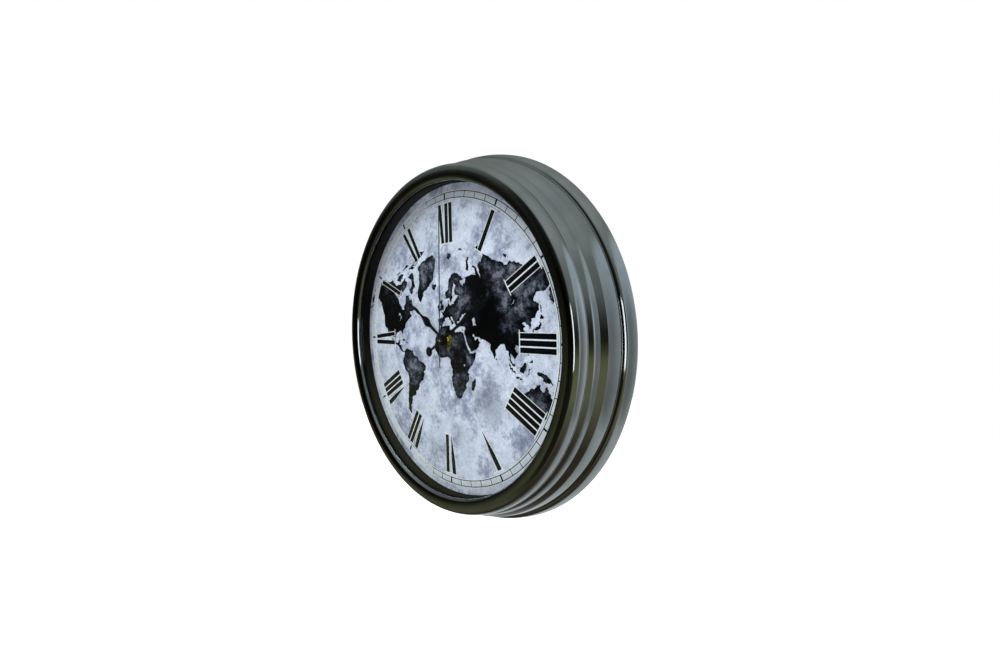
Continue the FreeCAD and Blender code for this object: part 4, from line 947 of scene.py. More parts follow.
@dataclass
class Stroke:
    """A stroke of a numeral: its foot and head across, and its width at each.

    The start and the knee are shares of its height: where it begins, and where it has its full width.
    """

    foot: float
    head: float
    foot_width: float
    head_width: float
    start: float = 0.0
    knee: float = 0.0

    def outline(self, base: float, top: float, grow: float = 0.0) -> list[Point]:
        """Gives the stroke's corners.

        Args:
            base: Radius of the foot.
            top: Radius of the head.
            grow: How far the corners stand out all round.

        Returns:
            Corners across and up.
        """
        low, high = self.foot_width / 2 + grow, self.head_width / 2 + grow
        tall, lean = top - base, self.head - self.foot
        foot, base_up = self.foot + lean * self.start, base + tall * self.start
        spots = [(foot - low, base_up - grow), (foot + low, base_up - grow),
                 (self.head + high, top + grow), (self.head - high, top + grow)]
        if self.knee > self.start:
            across, up = self.foot + lean * self.knee, base + tall * self.knee
            spots[2:2] = [(across + high, up)]
            spots.append((across - high, up))
        return spots


@dataclass
class Numerals:
    """Twelve tall roman numerals, their feet to the centre, each stroke edged in white."""

    foot: float = 104.0
    head: float = 145.8
    bar: float = 5.25
    gap: float = 1.35
    slant: float = 4.4
    thin: float = 0.5
    edge: float = 0.68
    serif: float = 0.9
    serif_reach: float = 3.0

    # The V: its thick stroke swells from a point up to its knee, and its thin arm starts at the thick one
    v_point: float = 0.5
    v_foot_shift: float = 0.3
    v_head_shift: float = 0.2
    v_swell: float = 0.7
    v_knee: float = 0.62
    v_arm_start: float = 0.42
    v_arm_shift: float = 0.4

    # The X: how much slimmer its thick stroke is, and how far the thin one stands in
    x_slimmer: float = 0.4
    x_inset: float = 0.8
    words: tuple = ("XII", "I", "II", "III", "IIII", "V", "VI", "VII", "VIII", "IX", "X", "XI")

    def strokes(self, word: str) -> tuple[list[Stroke], list[Stroke], float]:
        """Lays a numeral's strokes side by side.

        Args:
            word: The numeral.

        Returns:
            Its thick strokes, its thin strokes and its width, centred on zero.
        """
        thick, thin, left = [], [], 0.0
        for letter in word:
            half = self.bar / 2
            if letter == "I":
                thick.append(Stroke(left + half, left + half, self.bar, self.bar))
                left += self.bar + self.gap
                continue
            far = left + half + self.slant
            if letter == "V":
                thick.append(Stroke(far - self.v_foot_shift, left + half + self.v_head_shift, self.v_point,
                                    self.bar + self.v_swell, knee=self.v_knee))
                thin.append(Stroke(far, far + half - self.v_arm_shift, self.thin, self.thin,
                                   start=self.v_arm_start))
            else:
                width = self.bar - self.x_slimmer
                thick.append(Stroke(far, left + half, width, width))
                thin.append(Stroke(left + self.x_inset, far + half - self.x_inset, self.thin, self.thin))
            left += self.bar + self.slant + self.gap
        width = left - self.gap
        for stroke in thick + thin:
            stroke.foot -= width / 2
            stroke.head -= width / 2
        return thick, thin, width

    def build(self) -> None:
        """Prints the white edges, then the black strokes over them."""
        pale, black = [], []
        for hour, word in enumerate(self.words):
            thick, thin, width = self.strokes(word)
            turn = Matrix.Rotation(-hour * math.tau / 12, 2)
            reach = width / 2 + self.serif_reach
            below, above = self.foot - self.edge, self.head + self.edge
            spans = [(-reach, reach, above)]
            spans += [(stroke.foot - half, stroke.foot + half, below)
                      for stroke in thick if not stroke.knee for half in (self.bar / 2 + self.serif_reach,)]
            bars = [[(low, up - self.serif / 2), (high, up - self.serif / 2), (high, up + self.serif / 2),
                     (low, up + self.serif / 2)] for low, high, up in spans]
            for stroke in thick + thin:
                bars.append(stroke.outline(self.foot, self.head, self.edge))
            pale += [[tuple(turn @ Vector(spot)) for spot in bar] for bar in bars]
            black += [[tuple(turn @ Vector(spot)) for spot in stroke.outline(self.foot, self.head)]
                      for stroke in thick + thin]
        edges = placed("numeral_edges", printed(pale, NUMERAL_EDGE_FRONT, INK_REAR))
        fit(edges, Look.PALE_INK, "case")
        numerals = placed("numerals", printed(black, NUMERAL_FRONT, INK_REAR))
        fit(numerals, Look.INK, "case")


@dataclass
class MinuteTrack:
    """The railroad minute track: two thin lines with a tick each minute, edged in white."""

    inner: float = 150.1
    outer: float = 156.4
    line: float = 0.9
    pale_line: float = 0.8
    tick: float = 1.15
    bold_tick: float = 2.2
    tick_edge: float = 2.4
    overrun: float = 0.4

    def band(self, radius: float, width: float, near: float) -> list[Point]:
        """Half section of a printed line round the dial."""
        low, high = radius - width / 2, radius + width / 2
        return [(low, near), (high, near), (high, INK_REAR), (low, INK_REAR)]

    def mark(self, width: float, low: float, high: float, near: float) -> bpy.types.Mesh:
        """A tick at twelve o'clock, as a thin closed block."""
        half = width / 2
        return printed([[(-half, low), (half, low), (half, high), (-half, high)]], near, INK_REAR)

    def build(self) -> None:
        """Prints the lines and the ticks."""
        middle = (self.line + self.pale_line) / 2
        for name, radius, width, look, near in (
                ("track_ground", (self.inner + self.outer) / 2, self.outer - self.inner, Look.TRACK_GROUND,
                 GROUND_FRONT),
                ("track_inner_edge", self.inner - middle, self.pale_line, Look.PALE_INK, PALE_FRONT),
                ("track_outer_edge", self.outer + middle, self.pale_line, Look.PALE_INK, PALE_FRONT),
                ("track_inner_line", self.inner, self.line, Look.LINE_INK, LINE_FRONT),
                ("track_outer_line", self.outer, self.line, Look.LINE_INK, LINE_FRONT)):
            mesh = lathe(self.band(radius, width, near), 360)
            fit(placed(name, mesh), look, "case")
        for name, count, width, low, high, look, near in (
                ("minute_tick_edges", 60, self.tick_edge, self.inner, self.outer, Look.PALE_INK, PALE_FRONT),
                ("minute_ticks", 60, self.tick, self.inner, self.outer, Look.LINE_INK, TICK_FRONT),
                ("five_minute_ticks", 12, self.bold_tick, self.inner - self.overrun,
                 self.outer + self.overrun, Look.INK, BOLD_TICK_FRONT)):
            marks = Ring(count).of(name, self.mark(width, low, high, near), look)
            fit(marks, look, "case")


@dataclass
class WorldMap:
    """A plain world map in ink wash, drawn from longitudes and latitudes."""

    reach: float = 164.3
    grid: float = 2.4
    shift: float = -6.8
    drop: float = -24.7

    # The projection: the share of the latitude that is stretched, how much taller all is drawn, how the lands
    # narrow towards the poles (degrees where it starts, and share per degree), and the lift of the far north
    stretched_share: float = 0.8
    taller: float = 1.04
    slimmer_share: float = 0.05
    narrowing: tuple = ((54.0, 0.0068), (63.0, 0.012))
    least_width: float = 0.42
    polar_start: float = 58.0
    polar_span: float = 15.0
    polar_lift: float = 0.55

    # The coasts: spacing of their points and the least gap kept, then the noise's pitch, seed and swing
    coast_step: float = 0.9
    coast_gap: float = 0.25
    ragged: tuple = ((0.42, 3.7, 1.3), (0.13, 1.9, 1.5), (1.1, 0.7, 0.7))

    # The drops: points of coast between them, corners, radius, growth, throw, lobes, and the rim kept free
    drop_every: int = 6
    drop_corners: int = 7
    drop_radius: float = 0.22
    drop_growth: float = 0.9
    drop_throw: float = 6.5
    drop_lobes: float = 0.35
    calm: float = 0.3
    rim: float = 2.0

    # Ink on a plain spot, more of it on the coast, and how far inland that fades
    plain_ink: float = 0.40
    coast_ink: float = 0.42
    coast_fade: float = 2.2

    # Coasts, in degrees east and north
    lands: tuple = (
        # North America
        ((-166, 68), (-157, 71), (-141, 70), (-128, 70), (-114, 68), (-101, 68), (-95, 71), (-92, 69),
         (-86, 69), (-82, 67), (-87, 64), (-94, 60), (-92, 57), (-85, 55), (-82, 52), (-79, 52), (-79, 55),
         (-77, 57),
         (-78, 62), (-73, 62), (-69, 59), (-65, 60), (-61, 56), (-56, 52), (-60, 50), (-66, 50), (-65, 48),
         (-61, 46), (-66, 44), (-70, 43), (-70, 41), (-74, 40), (-76, 37), (-76, 35), (-81, 31), (-80, 26),
         (-82, 28), (-84, 30), (-90, 30), (-94, 29), (-97, 26), (-97, 21), (-94, 18), (-91, 18.5), (-90, 21),
         (-87, 21), (-88, 17), (-84, 15.5), (-83, 11), (-79, 9), (-77, 8.5), (-80, 7.5), (-85, 10), (-90, 14),
         (-95, 16), (-102, 18), (-106, 22), (-109, 26), (-113, 31), (-114, 31), (-110, 25), (-110, 23),
         (-114, 28), (-117, 33), (-121, 35), (-124, 40), (-124, 47), (-127, 50), (-131, 55), (-138, 59),
         (-147, 61), (-152, 59), (-158, 56), (-164, 54.5), (-157, 58.5), (-162, 60), (-165, 62), (-161, 64.5),
         (-167, 65.5)),
        # Greenland and the northern islands
        ((-60, 73), (-68, 75), (-62, 77.5), (-45, 79.5), (-30, 80.5), (-20, 78), (-20, 73), (-22, 68),
         (-32, 65), (-40, 62), (-43, 57), (-48, 58), (-53, 63), (-54, 67), (-58, 72)),
        ((-80, 73), (-72, 71), (-62, 66), (-66, 62), (-72, 64), (-73, 68), (-80, 70), (-88, 71)),
        ((-90, 76.5), (-78, 76.5), (-64, 81), (-62, 83), (-80, 83), (-92, 81)),
        ((-117, 70), (-105, 69), (-102, 72), (-110, 73), (-118, 72)),
        ((-125, 72), (-118, 74), (-123, 75)),
        ((-115, 75), (-105, 76), (-100, 77.5), (-112, 77)),
        ((-95, 75), (-82, 75), (-80, 76), (-92, 77)),
        ((-24, 65), (-22, 66.4), (-15, 66.4), (-13.5, 65), (-19, 63.4)),
        # Caribbean
        ((-85, 22), (-80, 23), (-74, 20), (-78, 20)),
        ((-74, 19.5), (-69, 19), (-70, 18), (-74, 18)),
        # South America
        ((-77, 8), (-72, 12), (-68, 11), (-61, 10.5), (-57, 6), (-51, 4), (-49, 0), (-44, -2.5), (-39, -3),
         (-35, -6), (-35, -9), (-39, -13), (-39, -18), (-41, -22), (-45, -23.5), (-48, -26), (-49, -29),
         (-53, -33), (-57, -35), (-57, -38), (-62, -39), (-65, -42), (-66, -46), (-68, -50), (-68, -53),
         (-69, -55.5), (-73, -53), (-75, -49), (-74, -43), (-73, -37), (-71.5, -30), (-70, -23), (-71, -18),
         (-76, -14), (-79, -8), (-81, -5), (-80, -1), (-78, 2), (-77.5, 5)),
        # Europe and Asia
        ((-9, 37), (-9, 43), (-2, 43.5), (-1, 46), (-4, 48.3), (1, 49.5), (3, 51.5), (8, 54), (8, 57),
         (10.5, 57.5), (10, 54.5), (14, 54), (19, 54.5), (21, 57), (24, 58.5), (29, 60), (23, 60), (21.5, 62),
         (25, 65), (22, 66), (17, 61.5), (18, 59.5), (16, 56.5), (13, 55.5), (11, 59), (6, 58.5), (5, 61),
         (10, 64), (14, 68), (20, 70), (28, 71), (35, 69.5), (41, 67), (34, 66.5), (38, 64), (44, 66),
         (44, 68), (54, 68.5), (60, 69), (68, 68.5), (67, 72.5), (73, 72), (74, 67), (77, 72), (86, 74),
         (100, 76.5), (104, 77.5), (113, 74), (127, 72.5), (130, 71), (140, 72.5), (152, 71), (160, 70),
         (170, 69.5), (178, 69), (180, 65), (177, 62.5), (170, 60), (163, 59.5), (162, 56), (157, 51),
         (156, 57), (163, 62), (155, 59.5), (143, 59), (135, 54.5), (141, 53), (140, 48), (135, 43.5),
         (130, 42.5), (129, 37), (126.5, 34.5), (125, 38), (121, 40), (118, 39), (122, 37), (119, 35),
         (122, 31), (120, 26), (115, 22.5), (110, 21), (108, 21.5), (106, 19), (109, 13), (105, 9), (103, 11),
         (100, 13.5), (99.5, 9), (103, 5), (104, 1.5), (101, 3), (98, 8), (98, 15), (94.5, 16), (92, 22),
         (88, 22), (85, 19.5), (80, 15), (80, 11), (77.5, 8), (74, 15), (72.5, 21), (67, 24.5), (61, 25),
         (57, 27), (54, 27), (50, 30), (48, 30), (51, 25), (52, 24), (56, 26), (56.5, 24), (59.5, 22.5),
         (55, 17), (45, 13), (43, 14), (39, 21), (35, 28), (34.5, 31), (36, 36), (30, 36.5), (27, 37),
         (26.5, 40), (29, 41), (35, 42), (41, 41.5), (37, 45), (39, 47), (34, 46), (32, 46.5), (28.5, 44),
         (28, 41.5), (23, 40.5), (24, 38), (22, 36.5), (19, 41), (14, 45), (12.5, 44), (18, 40.5), (16, 38),
         (12, 42), (8.5, 44.4), (3, 43), (3, 41.5), (-0.5, 38.5), (-2, 36.8), (-5.5, 36)),
        # Africa
        ((-6, 35.8), (3, 37), (10, 37.3), (11, 33.5), (15, 32), (20, 32.5), (20, 30.5), (25, 31.7),
         (32, 31.2),
         (34, 28), (35.5, 24), (37.5, 19), (39, 15.5), (43, 11.5), (51, 11.8), (48, 4.5), (42, -2), (39, -6),
         (40.5, -14), (35, -20), (35.5, -24), (32.5, -27), (28, -33), (20, -34.8), (18, -32), (15, -26.5),
         (12, -18), (13.7, -11), (12, -5), (9, -0.5), (9.5, 4), (4.5, 6.3), (-4, 5), (-8, 4.4), (-13, 9),
         (-17, 14.7), (-16.5, 20), (-14, 26), (-9.5, 31), (-6, 35)),
        ((49.5, -12.2), (50.3, -16), (47.5, -24.8), (44.5, -25), (43.7, -22), (44.5, -17)),
        # Islands of the north-east Atlantic and the Arctic
        ((-5.5, 50), (1, 51), (1.5, 52.7), (-1, 54.5), (-2, 57.5), (-5, 58.6), (-6, 56), (-3, 54.5),
         (-5, 52)),
        ((-10, 52), (-6, 52.2), (-6, 55), (-9.5, 54)),
        ((12, 78), (20, 77), (26, 79.5), (16, 80)),
        ((52, 71.2), (56, 70.7), (62, 75), (69, 76.6), (66, 77), (57, 74.8)),
        ((95, 79), (105, 79), (103, 81), (96, 80.6)),
        ((138, 74), (148, 75), (141, 76)),
        ((47, 80.2), (60, 80.5), (58, 81.3), (50, 81)),
        # Islands of east Asia
        ((142, 54), (143.5, 50), (143, 46.2), (142, 48)),
        ((130.5, 31.5), (132, 34), (136, 33.6), (140, 35.2), (142, 39.5), (141, 41.4), (139.5, 38.5),
         (136.5, 36.8), (131, 34.4), (129.8, 33)),
        ((140.2, 42), (143.5, 42), (145.4, 43.5), (142, 45.4)),
        ((120.2, 23), (121.5, 25.2), (121, 22)),
        ((120, 16), (122, 18.4), (124, 13), (121, 14)),
        ((122.2, 7.2), (126, 9.6), (126, 6.2)),
        # South-east Asia
        ((109.3, 1.5), (113, 3), (117, 7), (119, 5), (117.5, 1), (116, -4), (111, -3)),
        ((95.3, 5.6), (99, 2.8), (104, -1.5), (106, -5.7), (102, -4), (98, 1.5)),
        ((105.2, -6.6), (110, -6.6), (114.4, -7.8), (114, -8.6), (106, -7.5)),
        ((119.5, -5.4), (120.3, 0.8), (125, 1.4), (121.2, -0.6), (122.8, -4.8), (121, -3)),
        ((131, -0.8), (137, -1.5), (145, -4.5), (150.5, -10.5), (146.5, -8.5), (143, -9), (138, -8.2),
         (137.5, -5), (133, -4)),
        ((79.8, 8), (81, 8.6), (81.5, 6.3), (80, 6)),
        # Australia and New Zealand
        ((114, -22), (122, -18), (126, -14), (129.5, -15), (131, -12), (136.5, -12), (136, -15.5),
         (140.5, -17.5), (142.5, -11), (145.5, -15), (149, -20.5), (153, -25.5), (153, -31), (150, -37.3),
         (146.5, -39), (140.5, -38), (138, -35), (135, -34.8), (131, -31.5), (124, -33), (118, -35),
         (115, -34), (115.5, -31)),
        ((144.7, -41), (148.3, -41), (147, -43.5)),
        ((172.8, -34.5), (178.4, -37.7), (175.2, -41.6), (173.8, -39.4), (174.8, -37.2)),
        ((166.5, -46), (172.8, -40.6), (174, -42), (170.5, -46)),
    )

    # Inland seas and lakes, in degrees east and north
    seas: tuple = (
        ((50, 46.5), (53, 46), (51, 44), (53, 41), (54, 37), (50, 37), (49, 40.5), (47, 43.5), (49, 46)),
        ((-88, 42), (-86, 46), (-84, 45.5), (-87, 42)),
        ((-92, 46.8), (-85, 46.8), (-88, 48.8)),
        ((31.8, 0), (34, 0), (33.5, -2.5), (32, -2.5)),
        ((105, 52), (110, 55.5), (108.5, 53)),
    )

    # Where the ink pooled or thinned: degrees east and north, radius in millimetres, and how much
    pools: tuple = (
        (-112, 45, 26, 0.5), (-150, 64, 16, 0.35), (-95, 24, 14, 0.35), (-75, 50, 16, 0.2),
        (-42, 73, 15, -0.12),
        (-60, -12, 13, -0.22), (-68, -40, 10, 0.2), (5, 15, 13, -0.1), (24, 0, 14, 0.3), (24, -25, 11, -0.2),
        (15, 52, 14, -0.1), (38, 60, 12, -0.12), (66, 66, 14, 0.5), (72, 52, 17, 0.55), (76, 34, 16, 0.55),
        (78, 20, 13, 0.6), (50, 28, 12, 0.35), (112, 66, 20, -0.22), (145, 66, 18, -0.15),
        (104, 50, 15, -0.15),
        (112, 34, 15, 0.05), (104, 18, 13, 0.45), (133, -24, 15, -0.2),
    )

    def inked(self, sheet: bpy.types.Mesh, coasts: list[list[Point]]) -> bpy.types.Mesh:
        """Notes on each corner how much ink lies there: more by the coasts and in the pools.

        Args:
            sheet: The printed sheet.
            coasts: The coasts' points in millimetres.

        Returns:
            The same sheet.
        """
        shore = [spot for coast in coasts for spot in coast]
        tree = KDTree(len(shore))
        for number, (across, up) in enumerate(shore):
            tree.insert((across, up, 0.0), number)
        tree.balance()
        pools = [(Vector(self.spot((east, north))), radius, share)
                 for east, north, radius, share in self.pools]
        amounts = []
        for corner in sheet.vertices:
            here = Vector((corner.co.x, corner.co.z)) / MM
            _, _, reach = tree.find((here.x, here.y, 0.0))
            amount = self.plain_ink + self.coast_ink * math.exp(-reach / self.coast_fade)
            for middle, radius, share in pools:
                amount += share * math.exp(-((here - middle).length / radius) ** 2)
            amounts.append(amount)
        sheet.attributes.new("ink", "FLOAT", "POINT").data.foreach_set("value", amounts)
        return sheet

    def spot(self, place: Point) -> Point:
        """Places a longitude and latitude on the dial.

        Args:
            place: Degrees east and degrees north.

        Returns:
            Millimetres across and up from the axis.
        """
        east, north = place
        size = abs(north)
        start = self.narrowing[0][0]
        narrow = 1.0 - self.slimmer_share * min(size, start) / start
        for start, share in self.narrowing:
            narrow -= max(0.0, size - start) * share
        turn = math.radians(north) * self.stretched_share / 2
        rise = 1 / self.stretched_share * math.log(math.tan(math.pi / 4 + turn))
        polar = self.polar_lift * min(max(north - self.polar_start, 0.0), self.polar_span)
        return (max(narrow, self.least_width) * east + self.shift,
                self.taller * math.degrees(rise) + self.drop + polar)

    def coast(self, outline: tuple, seed: int) -> list[Point]:
        """Roughens an outline as a brush leaves it, and keeps it on the dial.

        Args:
            outline: Corners in degrees.
            seed: Where in the noise this coast is taken.

        Returns:
            Points across and up in millimetres.
        """
        corners = [Vector(self.spot(place)) for place in outline]
        spots: list[Point] = []
        for start, end in zip(corners, corners[1:] + corners[:1]):
            count = max(1, round((end - start).length / self.coast_step))
            for step in range(count):
                here = start.lerp(end, step / count)
                if step:
                    stray = Vector((0, 0, 0))
                    for pitch, shift, swing in self.ragged:
                        stray += wander(here.x * pitch, here.y * pitch, seed * shift) * swing
                    here = here + stray.to_2d()
                if here.length > self.reach:
                    here = here * (self.reach / here.length)
                if not spots or (here - Vector(spots[-1])).length > self.coast_gap:
                    spots.append((here.x, here.y))
        return spots

    def splash(self, coast: list[Point], seed: int) -> list[list[Point]]:
        """Flicks small drops of ink beside a coast, and keeps them on the dial.

        Args:
            coast: Points of the coast in millimetres.
            seed: Where in the noise the drops are taken.

        Returns:
            Outlines of the drops.
        """
        drops = []
        for at in range(0, len(coast), self.drop_every):
            here = Vector(coast[at])
            stray = wander(here.x * 0.9, here.y * 0.9, seed * 2.3 + 40.0)
            size = self.drop_radius + self.drop_growth * max(0.0, stray.z)
            middle = here + Vector((stray.x, stray.y)) * self.drop_throw
            if stray.length < self.calm or middle.length > self.reach - self.rim:
                continue
            turns = [math.tau * step / self.drop_corners for step in range(self.drop_corners)]
            drops.append([
                (middle.x + size * (1 + self.drop_lobes * math.sin(3 * turn + at)) * math.cos(turn),
                 middle.y + size * (1 + self.drop_lobes * math.cos(2 * turn + at)) * math.sin(turn))
                for turn in turns])
        return drops

    def build(self) -> None:
        """Prints the lands in ink wash."""
        lands = [self.coast(outline, at) for at, outline in enumerate(self.lands)]
        seas = [self.coast(outline, 90 + at) for at, outline in enumerate(self.seas)]
        most = round(self.reach / self.grid)
        rows = [step * self.grid for step in range(-most, most)]
        inner = [(across, up) for across in rows for up in rows if math.hypot(across, up) < self.reach - 1.0]
        sheet = self.inked(printed(lands, MAP_FRONT, INK_REAR, seas, inner), lands + seas)
        fit(placed("world_map", sheet), Look.WASH, "case")
        drops = [drop for at, coast in enumerate(lands) for drop in self.splash(coast, at)]
        flecks = joined([printed([drop], SPATTER_FRONT, INK_REAR) for drop in drops])
        spatter = self.inked(flecks, drops)
        fit(placed("ink_spatter", spatter), Look.WASH, "case")


@dataclass
class Hands:
    """The three hands."""

    edge: float = 0.1

    def build(self) -> None:
        """Rounds the hands' cut edges and finishes them."""
        for node, look, body in (("hour_hand", Look.SATIN_BLACK, "hour"),
                                 ("minute_hand", Look.SATIN_BLACK, "minute"),
                                 ("second_hand", Look.SATIN_GREY, "seconds")):
            fit(softened(node, self.edge), look, body)


# The back

@dataclass
class PanScrew:
    """A pan-head screw with a cross recess."""

    head_radius: float = 3.2
    head_height: float = 1.6
    shank_radius: float = 1.45
    shank_length: float = 8.0
    seat: float = -2.5
    recess_reach: float = 1.7
    recess_width: float = 0.75
    recess_depth: float = 0.8
    crown_share: float = 0.62
    tip_share: float = 0.4
    tip_length: float = 1.6
    overrun: float = 1.0

    def mesh(self) -> bpy.types.Mesh:
        """Turns the screw on the axis and sinks the cross into its head.

        Returns:
            The screw on the axis, in metres.
        """
        top = self.seat + self.head_height
        crown = [(self.head_radius * math.sin(turn),
                  top - self.head_height * self.crown_share * (1 - math.cos(turn)))
                 for turn in [math.radians(step * 15.0) for step in range(7)]]
        section = [(0.0, self.seat - self.shank_length)]
        section += [(self.shank_radius * self.tip_share, self.seat - self.shank_length),
                    (self.shank_radius, self.seat - self.shank_length + self.tip_length),
                    (self.shank_radius, self.seat), (self.head_radius, self.seat)]
        section += crown[::-1][:-1] + [(0.0, top)]
        body = placed("screw_body", lathe(section, 40, closed=False))
        for turn in (0.0, math.pi / 2):
            half, reach = self.recess_width / 2, self.recess_reach
            low, high = top - self.recess_depth, top + self.overrun
            corners = [(across, depth, up) for across in (-half, half) for depth in (low, high)
                       for up in (-reach, reach)]
            faces = [(0, 1, 3, 2), (4, 6, 7, 5), (0, 4, 5, 1), (2, 3, 7, 6), (0, 2, 6, 4), (1, 5, 7, 3)]
            cutter = solid("cross", corners, faces)
            cutter.data.transform(Matrix.Rotation(turn, 4, "Y"))
            cut = body.modifiers.new("recess", "BOOLEAN")
            cut.object, cut.solver, cut.operation = cutter, "EXACT", "DIFFERENCE"
            sight = bpy.context.evaluated_depsgraph_get()
            body.data = bpy.data.meshes.new_from_object(body.evaluated_get(sight), depsgraph=sight)
            body.modifiers.clear()
            bpy.data.objects.remove(cutter)
        mesh = body.data
        bpy.data.objects.remove(body)
        return mesh


@dataclass
class Back:
    """The back cover, its screws, the hanger and the pads."""

    screw_circle: float = 192.375
    hanger_height: float = 150.0
    hanger_half_spacing: float = 16.0
    hanger_rear: float = -1.3
    pad_circle: float = 154.0
    pad_radius: float = 6.0
    pad_front: float = -2.5
    pad_shoulder: float = -0.7
    pad_bevel: Point = (0.2, -0.3)
    pad_edge: float = 0.7

    def build(self) -> None:
        """Makes the cover, the screws, the hanger and the pads."""
        fit(softened("back_cover", 0.5), Look.COVER, "case")
        screw = PanScrew().mesh()
        screw.transform(Matrix.Translation((0, 0, self.screw_circle * MM)))
        screws = Ring(6, math.pi / 6).of("cover_screws_fine", screw, Look.ZINC)
        fit(screws, Look.ZINC, "case", ("cover_screws",))
        fit(softened("hanger_plate", 0.2), Look.ZINC, "case")
        flat = PanScrew(head_height=1.0, shank_length=7.2, seat=self.hanger_rear, recess_depth=0.6)
        mesh = flat.mesh()
        pair = []
        for side in (-1, 1):
            pair.append(mesh.copy())
            pair[-1].transform(Matrix.Translation((side * self.hanger_half_spacing * MM, 0,
                                                   self.hanger_height * MM)))
        fit(placed("hanger_screws_fine", joined(pair)), Look.ZINC, "case", ("hanger_screws",))
        radius = self.pad_radius
        inset, depth = self.pad_bevel
        pad = lathe([(0.0, self.pad_front), (radius, self.pad_front), (radius, self.pad_shoulder),
                     (radius - inset, depth), (radius - self.pad_edge, 0.0), (0.0, 0.0)], 48, closed=False)
        pad.transform(Matrix.Translation((0, 0, self.pad_circle * MM)))
        pads = Ring(4, math.pi / 4).of("wall_pads_fine", pad, Look.PAD)
        fit(pads, Look.PAD, "case", ("wall_pads",))


@dataclass
class Movement:
    """The quartz movement: its housing, battery, train and centre fixing."""

    looks: tuple = (
        ("dial_sheet", Look.PAPER), ("dial_board", Look.HARDBOARD), ("movement_front", Look.HOUSING),
        ("centre_plate", Look.PALE_RESIN), ("rubber_washer", Look.PAD), ("stator", Look.IRON),
        ("coil_core", Look.IRON), ("coil_bobbin", Look.PALE_RESIN), ("coil_winding", Look.COPPER),
        ("circuit_board", Look.BOARD), ("chip", Look.POTTING), ("crystal", Look.SPRING),
        ("battery", Look.SLEEVE), ("positive_contact", Look.SPRING), ("negative_contact", Look.SPRING),
        ("rotor", Look.MAGNET), ("fifth_wheel", Look.PALE_RESIN), ("seconds_wheel", Look.PALE_RESIN),
        ("third_wheel", Look.PALE_RESIN), ("centre_wheel", Look.PALE_RESIN),
        ("cannon_pinion", Look.BRASS), ("motion_wheel", Look.PALE_RESIN), ("hour_wheel", Look.PALE_RESIN),
        ("setting_knob", Look.WHITE_KNOB), ("hour_collet", Look.BRASS), ("minute_collet", Look.BRASS),
        ("second_socket", Look.BRASS), ("centre_bush", Look.BRASS), ("flat_washer", Look.BRASS),
    )

    def build(self) -> None:
        """Finishes the CAD pieces, and rounds the housing and the nut."""
        for node, look in self.looks:
            look.paint(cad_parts[node])
            LOG.info("%s: CAD node, %s", node, look.value.label)
        fit(softened("movement_rear", 0.3), Look.HOUSING, "case")
        fit(softened("hex_nut", 0.25), Look.BRASS, "case")


# Studio

